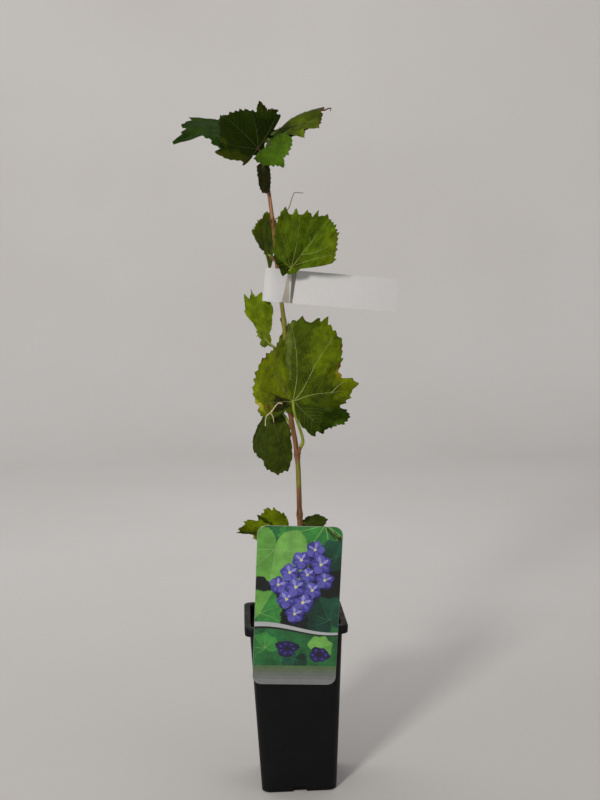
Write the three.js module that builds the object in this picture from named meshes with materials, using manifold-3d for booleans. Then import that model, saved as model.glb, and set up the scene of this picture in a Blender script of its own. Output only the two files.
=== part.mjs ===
// A young grapevine in a tall square nursery pot. One thin stem rises out of the soil and carries
// lobed, toothed leaves at its joints and a rosette of leaves at its tip. A plant card hangs on the
// pot's rim and a paper tag is looped round the stem.
// Lengths are in millimetres and angles in degrees. +Z is up, the front of the pot faces -Y, and the
// origin is the middle of the pot's underside.

import * as THREE from "three";
import { mergeVertices } from "three/addons/utils/BufferGeometryUtils.js";
import Module from "manifold-3d";

const wasm = await Module();
wasm.setup();

// Pieces that meet keep this gap.
const CLEARANCE = 0.35;

// The pot: a tapered square tub with round corners, a solid rim and a drain slot under each side.
const POT = {
  height: 161,
  foot: 70.5,
  mouth: 86.5,
  wall: 1.4,
  floor: 2.2,
  corner: 9,
  rim: 96,
  rimHeight: 8,
  rimCorner: 7,
  slotWidth: 13,
  slotHeight: 4.5,
  slotDepth: 7,
};

// The soil fills the pot to this far below the rim.
const SOIL_DROP = 13;

// The stem passes through these joints. Each is a height with its offsets to the right and back.
const STEM_JOINTS = [
  { height: POT.height - SOIL_DROP + CLEARANCE, right: 8.5, back: 3 },
  { height: 205, right: 8.2, back: 4 },
  { height: 256, right: 7.4, back: 3 },
  { height: 313, right: 6.4, back: 4 },
  { height: 356, right: 0.6, back: 2 },
  { height: 402, right: -1.6, back: 4 },
  { height: 440, right: -3.4, back: 2.5 },
  { height: 480, right: -7.4, back: 4 },
  { height: 532, right: -11.5, back: 2 },
  { height: 584, right: -17.5, back: 3 },
];
const STEM = {
  baseRadius: 2.7,
  tipRadius: 1.7,
  flare: 1.8,
  flareHeight: 9,
  jointSwelling: 0.7,
  jointLength: 4,
  sides: 10,
  steps: 60,
};

// A blade's reach from its stalk, as a share of its middle vein, by the angle from that vein:
// three broad lobes, two small ones at the base, and the notch where the stalk comes in.
const BLADE_REACH = [
  [0, 1.0],
  [20, 0.84],
  [42, 0.94],
  [62, 0.74],
  [84, 0.84],
  [108, 0.7],
  [138, 0.66],
  [163, 0.4],
  [180, 0.1],
];
const BLADE = {
  teeth: 0.06,
  ripple: 0.03,
  waves: 5,
  softFold: 0.05,
  thickness: 0.95,
  edgeShare: 0.6,
  sunk: 1.5,
};
const STALK = { radius: 1.15, tipRadius: 0.95, sides: 5, steps: 6 };
const SPUR = { radius: 1.9, tipRadius: 1.5, sides: 7, steps: 4 };

// A leaf has the place where its blade starts: right, back and up from the pot's foot. It has the
// heading (0 right, 90 back) and the pitch of its middle vein, and a roll about that vein. Its size
// is that vein's length. Fold lifts its halves, bend curls its tip down, spread narrows the fan of
// its lobes, and start is the share of the spur at which its stalk leaves. The outline is the leaf's
// own reach by the angle from its middle vein, where it differs from the usual one.
function leaf(place, facing, size, shape = {}, outline = []) {
  const usual = { fold: 8, bend: 24, spread: 1, start: 1, outline };
  const [heading, pitch, roll] = facing;
  return { place: new THREE.Vector3(...place), heading, pitch, roll, size, ...usual, ...shape };
}

// Each mass has one short spur that leaves the stem at a height, towards a bearing, at a rise.
const MASSES = [
  {
    name: "crown_leaves", height: 584, bearing: 200, rise: 85, length: 28,
    leaves: [
      leaf([-32, 26, 620], [199, 8, -30], 70, { fold: -4, bend: 34, spread: 0.62, start: 0.9 }, [
        [-176, 0.66], [-168, 0.74], [-84, 0.54], [-68, 0.91], [-20, 0.88], [4, 1.02],
        [16, 0.7], [96, 0.72], [148, 0.24], [176, 0.13],
      ]),
      leaf([-24, -9, 599], [231, 31, 244], 42, { fold: 20, bend: 30, spread: 0.84, start: 0.4 }, [
        [-176, 0.12], [-100, 0.21], [-88, 0.9], [-52, 0.82], [8, 1.11], [32, 0.98],
        [56, 1.08], [72, 0.68], [88, 0.55], [100, 0.2], [176, 0.12],
      ]),
      leaf([-3, 8, 618.5], [-9, 42, 26], 50, { fold: -17, bend: 40, spread: 0.8, start: 0.8 }, [
        [-176, 0.12], [-104, 0.21], [-92, 0.87], [-76, 0.7], [-56, 0.9], [4, 0.86],
        [24, 1.12], [90, 1.12], [101, 0.5], [176, 0.12],
      ]),
      leaf([-13, -20, 600.5], [319, -48, 58], 26, { fold: 16, bend: 8, start: 0.4 }, [
        [-176, 0.12], [-88, 0.2], [-76, 0.84], [-20, 0.89], [-4, 1.02], [8, 0.75],
        [60, 0.88], [84, 0.7], [116, 0.21], [176, 0.12],
      ]),
      leaf([-19.5, -5, 583], [262, -84, 0], 27, { fold: 30, bend: 4, spread: 0.8, start: 0.2 }, [
        [-176, 0.12], [-52, 0.32], [-28, 0.49], [-4, 0.91], [16, 0.95], [44, 0.55],
        [64, 0.39], [124, 0.21], [176, 0.14],
      ]),
      leaf([-28, 28, 612], [126, 14, 0], 48, { spread: 0.7, start: 0.7 }),
      leaf([-8, 28, 612], [76, 24, 0], 44, { spread: 0.65, start: 0.7 }),
      leaf([-19.4, -4, 626], [262, 76, 0], 20, { fold: 24, bend: 10, spread: 0.62 }, [
        [-176, 0.12], [-92, 0.21], [-4, 0.85], [16, 0.65], [72, 0.43], [100, 0.23],
        [176, 0.12],
      ]),
      leaf([-15.7, -3, 624.3], [350, 40, 20], 19, { fold: 20, bend: 12, spread: 0.8 }, [
        [-176, 0.14], [-132, 0.38], [-112, 1.06], [-72, 1.1], [-12, 0.74], [76, 0.85],
        [140, 0.27], [176, 0.14],
      ]),
    ],
  },
  {
    name: "upper_front_leaves", height: 490, bearing: 330, rise: 8, length: 6,
    leaves: [
      leaf([4, -9, 489], [24, 49, 63], 59, { fold: 46, bend: -8, spread: 0.78 }, [
        [-176, 0.12], [-100, 0.22], [-86, 0.84], [-60, 0.86], [0, 1.05], [44, 0.88],
        [72, 1], [108, 0.6], [152, 0.28], [176, 0.21],
      ]),
    ],
  },
  {
    name: "upper_left_leaves", height: 496, bearing: 150, rise: 40, length: 8,
    leaves: [
      leaf([-20, 10, 508], [246, 54, -78], 38, { fold: 9, bend: 17, spread: 0.78 }, [
        [-176, 0.72], [-120, 1.13], [-92, 1.14], [-84, 1.12], [-60, 0.79], [-4, 0.63],
        [24, 0.78], [40, 1.05], [88, 0.22], [176, 0.12],
      ]),
    ],
  },
  {
    name: "upper_back_leaves", height: 516, bearing: 60, rise: 30, length: 10,
    leaves: [
      leaf([12, 24, 524], [40, 8, 0], 40, { spread: 0.65 }),
    ],
  },
  {
    name: "middle_left_leaves", height: 402, bearing: 125, rise: 40, length: 9,
    leaves: [
      leaf([-20, 32, 423], [160, 46, -135], 52, { fold: -14, bend: 24, spread: 0.62 }, [
        [-176, 0.12], [-140, 0.25], [-104, 0.8], [-80, 0.9], [-24, 0.88], [-8, 0.64],
        [4, 0.28], [80, 0.26], [136, 0.5], [176, 0.2],
      ]),
    ],
  },
  {
    name: "middle_front_leaves", height: 313, bearing: 315, rise: 60, length: 12,
    leaves: [
      leaf([2.8, -14, 366], [147, 83, -98], 77, { fold: -15, bend: 21 }, [
        [-176, 0.23], [-168, 0.55], [-116, 0.43], [-84, 0.86], [-64, 0.73], [-44, 0.98],
        [-24, 1.07], [8, 0.93], [20, 0.76], [40, 0.86], [108, 0.73], [120, 0.2],
        [176, 0.12],
      ]),
    ],
  },
  {
    name: "middle_back_leaves", height: 384, bearing: 85, rise: 30, length: 10,
    leaves: [
      leaf([12, 32, 391], [86, 5, 0], 50, { spread: 0.65 }),
    ],
  },
  {
    name: "middle_right_leaves", height: 350, bearing: 15, rise: 25, length: 8,
    leaves: [
      leaf([22, 12, 353], [-14, 18, 28], 40, { fold: -18, bend: 40, spread: 0.9 }, [
        [-176, 0.12], [-120, 0.21], [-84, 0.76], [-48, 0.8], [-16, 0.98], [0, 0.8],
        [12, 0.4], [92, 0.47], [108, 0.2], [176, 0.12],
      ]),
    ],
  },
  {
    name: "lower_left_leaves", height: 338, bearing: 110, rise: 30, length: 9,
    leaves: [
      leaf([-17, 42, 352], [206, -71, -12], 56, { fold: -12, bend: 20, spread: 0.8 }, [
        [-176, 0.12], [-68, 0.2], [-52, 0.44], [-36, 0.88], [-4, 0.87], [24, 1.14],
        [40, 1.12], [60, 0.82], [120, 0.22], [176, 0.12],
      ]),
    ],
  },
  {
    name: "base_left_leaves", height: 226, bearing: 185, rise: 30, length: 8,
    leaves: [
      leaf([-10, 8, 241], [163, -7, -61], 45, { fold: 56, bend: -8, spread: 0.85 }, [
        [-176, 0.18], [-128, 0.49], [-84, 0.64], [-60, 0.61], [0, 0.97], [12, 0.67],
        [24, 0.64], [80, 0.8], [108, 1.03], [144, 0.36], [176, 0.18],
      ]),
    ],
  },
  {
    name: "base_right_leaves", height: 218, bearing: 40, rise: 40, length: 8,
    leaves: [
      leaf([12, 10, 246], [9, 10, 22], 26, { fold: 6, bend: 12 }, [
        [-176, 0.12], [-116, 0.21], [-100, 0.47], [-64, 0.74], [-36, 0.73], [0, 0.88],
        [36, 0.75], [72, 0.2], [176, 0.12],
      ]),
      leaf([8, 26, 232], [88, 4, 0], 42, { spread: 0.7 }),
    ],
  },
];

// The plant card leans on the pot with its tongue hooked over the rim.
const CARD = {
  width: 77,
  length: 154,
  thickness: 0.8,
  corner: 8,
  foot: 106,
  right: -3.5,
  lean: 8,
  turn: 3.1,
  tongueWidth: 22,
  tongueDrop: 11,
};

// The paper tag: a flat loop that hugs the stem, closed into one flag that points right.
const TAG = {
  height: 31,
  thickness: 0.8,
  low: 458.4,
  loopLeft: -23.5,
  loopRight: 4,
  loopSlack: 1.15,
  flag: 100,
  slope: 6.2,
  sway: 6,
};

const rad = THREE.MathUtils.degToRad;

// Turns a closed three.js geometry into a solid that can be cut and joined.
function solidOf(geometry) {
  const bare = geometry.index ? geometry.toNonIndexed() : geometry.clone();
  bare.deleteAttribute("normal");
  bare.deleteAttribute("uv");
  const merged = mergeVertices(bare, 1e-4);
  return new wasm.Manifold(
    new wasm.Mesh({
      numProp: 3,
      vertProperties: new Float32Array(merged.attributes.position.array),
      triVerts: new Uint32Array(merged.index.array),
    }),
  );
}

function meshOf(name, solid, material) {
  const { numVert, numProp, vertProperties, triVerts } = solid.getMesh();
  const position = new Float32Array(numVert * 3);
  for (let i = 0; i < numVert; i++) {
    position.set(vertProperties.subarray(i * numProp, i * numProp + 3), i * 3);
  }
  const geometry = new THREE.BufferGeometry();
  geometry.setAttribute("position", new THREE.BufferAttribute(position, 3));
  geometry.setIndex(new THREE.BufferAttribute(new Uint32Array(triVerts), 1));
  geometry.computeVertexNormals();
  const mesh = new THREE.Mesh(geometry, material);
  mesh.name = name;
  return mesh;
}

// Moves every vertex of a geometry by a function of its place.
function reshape(geometry, move) {
  const position = geometry.attributes.position;
  const place = new THREE.Vector3();
  for (let i = 0; i < position.count; i++) {
    place.fromBufferAttribute(position, i);
    position.setXYZ(i, ...move(place).toArray());
  }
  return geometry;
}

function join(solids) {
  return solids.reduce((whole, piece) => whole.add(piece));
}

// Keeps the largest body, without loose crumbs or pockets sealed inside it.
function largestBody(solid) {
  const bodies = solid.decompose();
  return bodies.reduce((best, piece) => (piece.volume() > best.volume() ? piece : best));
}

function roundedRectangle(width, length, corner) {
  const [x, y] = [width / 2, length / 2];
  const shape = new THREE.Shape();
  shape.moveTo(-x + corner, -y);
  shape.lineTo(x - corner, -y);
  shape.absarc(x - corner, -y + corner, corner, -Math.PI / 2, 0);
  shape.lineTo(x, y - corner);
  shape.absarc(x - corner, y - corner, corner, 0, Math.PI / 2);
  shape.lineTo(-x + corner, y);
  shape.absarc(-x + corner, y - corner, corner, Math.PI / 2, Math.PI);
  shape.lineTo(-x, -y + corner);
  shape.absarc(-x + corner, -y + corner, corner, Math.PI, Math.PI * 1.5);
  return shape;
}

// A square block with round upright edges that widens from its foot to its top.
function taperedBlock(footSize, topSize, corner, low, high) {
  const block = new THREE.ExtrudeGeometry(roundedRectangle(topSize, topSize, corner), {
    depth: 1,
    bevelEnabled: false,
    curveSegments: 5,
  });
  return solidOf(
    reshape(block, (p) => {
      const width = THREE.MathUtils.lerp(footSize, topSize, p.z) / topSize;
      return p.set(p.x * width, p.y * width, THREE.MathUtils.lerp(low, high, p.z));
    }),
  );
}

// The pot's outer width at a height, carried on straight from foot to mouth.
function potWidth(height) {
  return THREE.MathUtils.lerp(POT.foot, POT.mouth, height / POT.height);
}

function potShell() {
  const rimLow = POT.height - POT.rimHeight;
  const body = taperedBlock(POT.foot, POT.mouth, POT.corner, 0, POT.height);
  const rim = taperedBlock(POT.rim - 1, POT.rim, POT.rimCorner, rimLow, POT.height);
  const inside = 2 * POT.wall;
  const hollow = taperedBlock(
    potWidth(POT.floor) - inside,
    potWidth(POT.height + 1) - inside,
    POT.corner - POT.wall,
    POT.floor,
    POT.height + 1,
  );
  const slots = [0, 1, 2, 3].map((side) => {
    const slot = new THREE.BoxGeometry(POT.slotWidth, POT.slotDepth, 2 * POT.slotHeight);
    slot.translate(0, -POT.foot / 2, 0);
    slot.rotateZ((side * Math.PI) / 2);
    return solidOf(slot);
  });
  return slots.reduce((pot, slot) => pot.subtract(slot), body.add(rim).subtract(hollow));
}

function soilBlock() {
  const top = POT.height - SOIL_DROP;
  const inside = 2 * (POT.wall + CLEARANCE);
  const low = POT.slotHeight + CLEARANCE;
  return taperedBlock(
    potWidth(low) - inside,
    potWidth(top) - inside,
    POT.corner - POT.wall,
    low,
    top,
  );
}

// A round limb along a curve, its radius a function of how far along it is, from 0 to 1.
function limb(curve, radiusAt, sides, steps) {
  const frames = curve.computeFrenetFrames(steps, false);
  const tube = new THREE.CylinderGeometry(1, 1, 1, sides, steps);
  reshape(tube, (p) => {
    const step = Math.round((p.y + 0.5) * steps);
    const radius = radiusAt(step / steps);
    return curve
      .getPointAt(step / steps)
      .addScaledVector(frames.normals[step], p.x * radius)
      .addScaledVector(frames.binormals[step], -p.z * radius);
  });
  return solidOf(tube);
}

function stemCurve() {
  const joints = STEM_JOINTS.map((j) => new THREE.Vector3(j.right, j.back, j.height));
  return new THREE.CatmullRomCurve3(joints, false, "centripetal");
}

const STEM_CURVE = stemCurve();
const STEM_FOOT = STEM_JOINTS[0].height;
const STEM_TOP = STEM_JOINTS.at(-1).height;

// The stem's middle line at a height, found by halving.
function stemAt(height) {
  let [low, high] = [0, 1];
  for (let i = 0; i < 24; i++) {
    const middle = (low + high) / 2;
    if (STEM_CURVE.getPointAt(middle).z < height) low = middle;
    else high = middle;
  }
  return STEM_CURVE.getPointAt((low + high) / 2);
}

// The stem tapers, flares at its foot and swells at each joint.
function stemRadius(height) {
  const taper = THREE.MathUtils.lerp(
    STEM.baseRadius,
    STEM.tipRadius,
    (height - STEM_FOOT) / (STEM_TOP - STEM_FOOT),
  );
  const flare = STEM.flare * Math.exp(-(height - STEM_FOOT) / STEM.flareHeight);
  const swelling = STEM_JOINTS.slice(1, -1).reduce(
    (sum, j) => sum + Math.exp(-(((height - j.height) / STEM.jointLength) ** 2)),
    0,
  );
  return taper + flare + STEM.jointSwelling * swelling;
}

// The foot and tip are cut flat, and extra widens it for cutting what must stay clear.
function stemSolid(extra) {
  const radiusAt = (t) => stemRadius(STEM_CURVE.getPointAt(t).z) + extra;
  const stem = limb(STEM_CURVE, radiusAt, STEM.sides, STEM.steps);
  return stem.trimByPlane([0, 0, 1], STEM_FOOT - extra);
}

// The reach of a blade at an angle from its middle vein: the leaf's own, or else the usual one,
// which is the same on both sides.
function bladeReach(leaf, degrees) {
  const own = leaf.outline.length > 0;
  const outline = own ? leaf.outline : BLADE_REACH;
  const angle = own ? degrees : Math.abs(degrees);
  const next = outline.findIndex(([a]) => a >= angle);
  if (next <= 0) return outline.at(next)[1];
  const [[a0, r0], [a1, r1]] = [outline[next - 1], outline[next]];
  return THREE.MathUtils.lerp(r0, r1, (angle - a0) / (a1 - a0));
}

// The middle vein, the side and the face of a leaf as three directions.
function leafAxes(leaf) {
  const [heading, pitch, roll] = [rad(leaf.heading), rad(leaf.pitch), rad(leaf.roll)];
  const vein = new THREE.Vector3(
    Math.cos(pitch) * Math.cos(heading),
    Math.cos(pitch) * Math.sin(heading),
    Math.sin(pitch),
  );
  const level = new THREE.Vector3(-Math.sin(heading), Math.cos(heading), 0);
  const side = level.applyAxisAngle(vein, roll);
  const face = new THREE.Vector3().crossVectors(vein, side);
  return { vein, side, face };
}

// A toothed, folded and bent blade, shaped from a thin round disc whose middle is the stalk's end.
function bladeSolid(leaf) {
  const segments = leaf.size > 40 ? 36 : 28;
  const rings = leaf.size > 55 ? 3 : 2;
  const half = BLADE.thickness / 2;
  const profile = [];
  for (let i = 0; i <= rings; i++) {
    profile.push(new THREE.Vector2(i / rings, i === rings ? -half * BLADE.edgeShare : -half));
  }
  for (let i = rings; i >= 0; i--) {
    profile.push(new THREE.Vector2(i / rings, i === rings ? half * BLADE.edgeShare : half));
  }
  const disc = new THREE.LatheGeometry(profile, segments);
  const { vein, side, face } = leafAxes(leaf);
  const turn = rad(leaf.bend) / leaf.size || 1e-6;
  const soft = BLADE.softFold * leaf.size;
  return solidOf(
    reshape(disc, (p) => {
      const share = Math.hypot(p.x, p.z);
      const round = Math.atan2(p.x, p.z);
      const angle = round * (Math.abs(round) < 3.1 ? leaf.spread : 1);
      const tooth = Math.round((round / (2 * Math.PI)) * segments) % 2 ? -1 : 1;
      const edge = share > 0.99 ? 1 + tooth * BLADE.teeth : 1;
      const reach = leaf.size * share * bladeReach(leaf, THREE.MathUtils.radToDeg(round)) * edge;
      const along = reach * Math.cos(angle);
      const across = reach * Math.sin(angle);
      const lift =
        p.y +
        (Math.hypot(across, soft) - soft) * Math.sin(rad(leaf.fold)) +
        BLADE.ripple * leaf.size * share ** 2 * Math.sin(BLADE.waves * round + leaf.place.z);
      return leaf.place
        .clone()
        .addScaledVector(vein, Math.sin(turn * along) / turn + lift * Math.sin(turn * along))
        .addScaledVector(side, across * Math.cos(rad(leaf.fold)))
        .addScaledVector(
          face,
          lift * Math.cos(turn * along) - (1 - Math.cos(turn * along)) / turn,
        );
    }),
  );
}

// The spur of a mass: its foot on the stem's middle line, its way out and its tip.
function spurOf(mass) {
  const foot = stemAt(mass.height);
  const way = new THREE.Vector3(
    Math.cos(rad(mass.rise)) * Math.cos(rad(mass.bearing)),
    Math.cos(rad(mass.rise)) * Math.sin(rad(mass.bearing)),
    Math.sin(rad(mass.rise)),
  );
  return { foot, way, tip: foot.clone().addScaledVector(way, mass.length) };
}

// A leaf's stalk leaves the spur along its way and comes into the blade along the middle vein.
function stalkSolid(leaf, spur) {
  const { vein } = leafAxes(leaf);
  const root = spur.foot.clone().lerp(spur.tip, leaf.start);
  const span = leaf.place.distanceTo(root);
  const curve = new THREE.CatmullRomCurve3(
    [
      root.clone().addScaledVector(spur.way, -2),
      root.clone().addScaledVector(spur.way, span * 0.25),
      leaf.place.clone().addScaledVector(vein, -span * 0.22),
      leaf.place.clone().addScaledVector(vein, BLADE.sunk),
    ],
    false,
    "centripetal",
  );
  const radiusAt = (t) => THREE.MathUtils.lerp(STALK.radius, STALK.tipRadius, t);
  return limb(curve, radiusAt, STALK.sides, STALK.steps);
}

// One mass: spur, stalks and blades fused, and cut clear of the stem.
function massSolid(mass, stemRoom) {
  const spur = spurOf(mass);
  const spurRadius = (t) => THREE.MathUtils.lerp(SPUR.radius, SPUR.tipRadius, t);
  const spurSolid = limb(
    new THREE.LineCurve3(spur.foot, spur.tip),
    spurRadius,
    SPUR.sides,
    SPUR.steps,
  );
  const leaves = mass.leaves.flatMap((leaf) => [stalkSolid(leaf, spur), bladeSolid(leaf)]);
  return largestBody(join([spurSolid, ...leaves]).subtract(stemRoom)).simplify(0.04);
}

// The card is one plate with a tongue that goes over the rim and down inside the pot.
function cardSolid() {
  const plate = new THREE.ExtrudeGeometry(
    roundedRectangle(CARD.width, CARD.length, CARD.corner),
    { depth: CARD.thickness, bevelEnabled: false, curveSegments: 5 },
  );
  const rimLow = POT.height - POT.rimHeight;
  const gapAtRim = -POT.rim / 2 - CLEARANCE;
  plate.translate(0, CARD.length / 2, 0);
  plate.rotateZ(-rad(CARD.turn));
  plate.rotateX(Math.PI / 2 + rad(CARD.lean));
  plate.translate(
    CARD.right,
    gapAtRim + (rimLow - CARD.foot) * Math.tan(rad(CARD.lean)),
    CARD.foot,
  );
  const over = POT.height + CLEARANCE;
  const front = gapAtRim - (over - rimLow) * Math.tan(rad(CARD.lean)) - CARD.thickness / 2;
  const inner = -(potWidth(over - CARD.tongueDrop) / 2 - POT.wall - CLEARANCE);
  const outline = new THREE.Shape();
  outline.moveTo(front, over);
  outline.lineTo(inner, over);
  outline.lineTo(inner, over - CARD.tongueDrop);
  outline.lineTo(inner + CARD.thickness, over - CARD.tongueDrop);
  outline.lineTo(inner + CARD.thickness, over + CARD.thickness);
  outline.lineTo(front, over + CARD.thickness);
  outline.closePath();
  const tongue = new THREE.ExtrudeGeometry(outline, {
    depth: CARD.tongueWidth,
    bevelEnabled: false,
  });
  tongue.rotateY(Math.PI / 2);
  tongue.rotateX(Math.PI / 2);
  tongue.translate(-CARD.tongueWidth / 2, 0, 0);
  return solidOf(plate).add(solidOf(tongue));
}

// Seen from above, the tag is a drop-shaped loop drawn to a point, and a flag from that point.
function tagSolid() {
  const middle = (TAG.loopLeft + TAG.loopRight) / 2;
  const radius = (TAG.loopRight - TAG.loopLeft) / 2;
  const held = stemAt(TAG.low + TAG.height / 2);
  const wide = (angle) => Math.sin(angle) * (0.35 + 0.325 * (1 - Math.cos(angle)));
  const room = stemRadius(held.z) + CLEARANCE + TAG.loopSlack;
  const reach = room / wide(Math.acos((held.x - middle) / radius));
  const drop = (spare) => {
    const points = [];
    for (let i = 0; i < 28; i++) {
      const angle = (i / 28) * 2 * Math.PI;
      const right = middle + (radius - TAG.thickness + spare) * Math.cos(angle);
      const back = held.y + reach * wide(angle) + spare * Math.sin(angle);
      points.push(new THREE.Vector2(right, back));
    }
    return points;
  };
  const loop = new THREE.Shape(drop(TAG.thickness));
  loop.holes.push(new THREE.Path(drop(0)));
  const upright = { depth: TAG.height, bevelEnabled: false };
  const flag = new THREE.BoxGeometry(TAG.flag, TAG.thickness, TAG.height, 10, 1, 1);
  flag.translate(TAG.loopRight - TAG.thickness + TAG.flag / 2, held.y, TAG.height / 2);
  reshape(flag, (p) => {
    const share = (p.x - TAG.loopRight) / TAG.flag;
    return p.setY(p.y - TAG.sway * Math.sin(share * Math.PI * 0.9));
  });
  const tag = solidOf(new THREE.ExtrudeGeometry(loop, upright)).add(solidOf(flag));
  return tag
    .translate([-middle, 0, 0])
    .rotate([0, TAG.slope, 0])
    .translate([middle, 0, TAG.low]);
}

function material(color, roughness, metalness = 0) {
  return new THREE.MeshStandardMaterial({ color, roughness, metalness });
}

const MATERIALS = {
  potPlastic: material(0x17181a, 0.5),
  soil: material(0x2a1c14, 0.95),
  bark: material(0x8a6a44, 0.8),
  leaf: material(0x4c7a22, 0.55),
  card: material(0x4f9a45, 0.35),
  paper: material(0xe6e6ea, 0.7),
};

// What the masses keep clear of: the stem made wider, and longer at its tip.
const stemWider = stemSolid(CLEARANCE);
const stemRoom = stemWider.add(stemWider.translate([0, 0, CLEARANCE]));
const grapevine = new THREE.Group();
grapevine.name = "grapevine";
grapevine.add(
  meshOf("pot", potShell(), MATERIALS.potPlastic),
  meshOf("soil", soilBlock(), MATERIALS.soil),
  meshOf("stem", stemSolid(0), MATERIALS.bark),
  meshOf("plant_card", cardSolid(), MATERIALS.card),
  meshOf("stem_tag", tagSolid(), MATERIALS.paper),
);
for (const mass of MASSES) {
  grapevine.add(meshOf(mass.name, massSolid(mass, stemRoom), MATERIALS.leaf));
}

export default grapevine;
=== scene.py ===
"""Looks of a young grapevine in a tall square nursery pot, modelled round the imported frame.

Named lengths are in millimetres and named angles in degrees. Meshes, lights and the camera are in metres.
The leaves, stem, card and tag follow the rules of the part's source, carried to finer detail.
"""

import math

import bmesh
import bpy
import numpy as np
from mathutils import Matrix, Vector


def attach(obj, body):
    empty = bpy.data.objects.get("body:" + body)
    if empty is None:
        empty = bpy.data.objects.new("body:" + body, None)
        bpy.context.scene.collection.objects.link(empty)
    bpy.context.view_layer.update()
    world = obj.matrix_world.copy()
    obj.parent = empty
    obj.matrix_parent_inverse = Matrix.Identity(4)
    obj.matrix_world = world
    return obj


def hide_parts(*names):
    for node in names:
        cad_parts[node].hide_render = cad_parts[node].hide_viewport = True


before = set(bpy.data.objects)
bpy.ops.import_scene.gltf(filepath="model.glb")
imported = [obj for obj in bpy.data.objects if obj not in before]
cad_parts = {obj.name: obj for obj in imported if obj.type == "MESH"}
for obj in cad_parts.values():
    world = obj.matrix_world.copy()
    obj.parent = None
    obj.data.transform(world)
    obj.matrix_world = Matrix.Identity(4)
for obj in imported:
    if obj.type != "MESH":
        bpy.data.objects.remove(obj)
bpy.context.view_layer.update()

MM = 0.001

# Sizes shared with the part's source

POT_HEIGHT, POT_FOOT, POT_MOUTH = 161.0, 70.5, 86.5
POT_WALL, POT_FLOOR, POT_CORNER = 1.4, 2.2, 9.0
RIM_WIDTH, RIM_HEIGHT, RIM_CORNER = 96.0, 8.0, 7.0
SLOT_WIDTH, SLOT_HEIGHT, SLOT_DEPTH, SLOT_CORNER = 13.0, 4.5, 7.0, 1.5
CLEARANCE = 0.35
SOIL_TOP = 148.0
INNER_CORNER = POT_CORNER - POT_WALL
RIM_LOW = POT_HEIGHT - RIM_HEIGHT

# The stem's middle line at its joints: right, back and up
STEM_JOINTS = [
    (8.5, 3, 148.35), (8.2, 4, 205), (7.4, 3, 256), (6.4, 4, 313), (0.6, 2, 356),
    (-1.6, 4, 402), (-3.4, 2.5, 440), (-7.4, 4, 480), (-11.5, 2, 532), (-17.5, 3, 584),
]
STEM_FOOT, STEM_TOP = STEM_JOINTS[0][2], STEM_JOINTS[-1][2]

# The common blade's reach, as a share of its length, by the angle from its middle vein
BLADE_REACH = np.array([
    (0, 1.0), (20, 0.84), (42, 0.94), (62, 0.74), (84, 0.84), (108, 0.7), (138, 0.66), (163, 0.4), (180, 0.1),
])
SPUR_RADII = (1.9, 1.5)
STALK_RADII = (1.1, 0.9)

CARD_WIDTH, CARD_LENGTH, CARD_THICK, CARD_CORNER = 77.0, 154.0, 0.8, 8.0
CARD_FOOT, CARD_RIGHT, CARD_LEAN, CARD_TURN = 106.0, -3.5, 8.0, 3.1
TONGUE_WIDTH, TONGUE_DROP = 22.0, 11.0
GAP_AT_RIM = -RIM_WIDTH / 2 - CLEARANCE

TAG_HEIGHT, TAG_LOW, TAG_LEFT, TAG_RIGHT = 31.0, 458.4, -23.5, 4.0
TAG_FLAG, TAG_SLOPE, TAG_SWAY, TAG_THICK, TAG_SLACK = 100.0, 6.2, 6.0, 0.8, 1.15


def leaf(place, facing, size, tone, **shape):
    """One leaf: its blade's place, the heading, pitch and roll of its middle vein, its length and its tone.

    Fold lifts the halves, bend lowers the tip and spread narrows the fan of lobes. The outline is the blade's
    own reach by angle, in place of the common one. Patches are parts in another tone: from one angle to
    another, from one share of the reach to another. Cuts are notches of the edge or, below 0, tips: angle,
    width and share. Ribs are its own main veins, as knots of angle and share, and rib is how pale they are.
    Tooth is how deep the teeth are, and flip turns the upper side down. Start is where on the spur the stalk
    begins, lead is how far it goes on in the spur's direction, and stout makes it thicker.
    """
    usual = dict(fold=8, bend=24, spread=1, flip=False, outline=(), patches=(), cuts=(), ribs=(), rib=0.4)
    usual.update(tooth=1.0, start=1, lead=0.25, stout=1.0, stalk="green")
    return {**usual, "place": place, "facing": facing, "size": size, "tone": tone, **shape}


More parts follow.
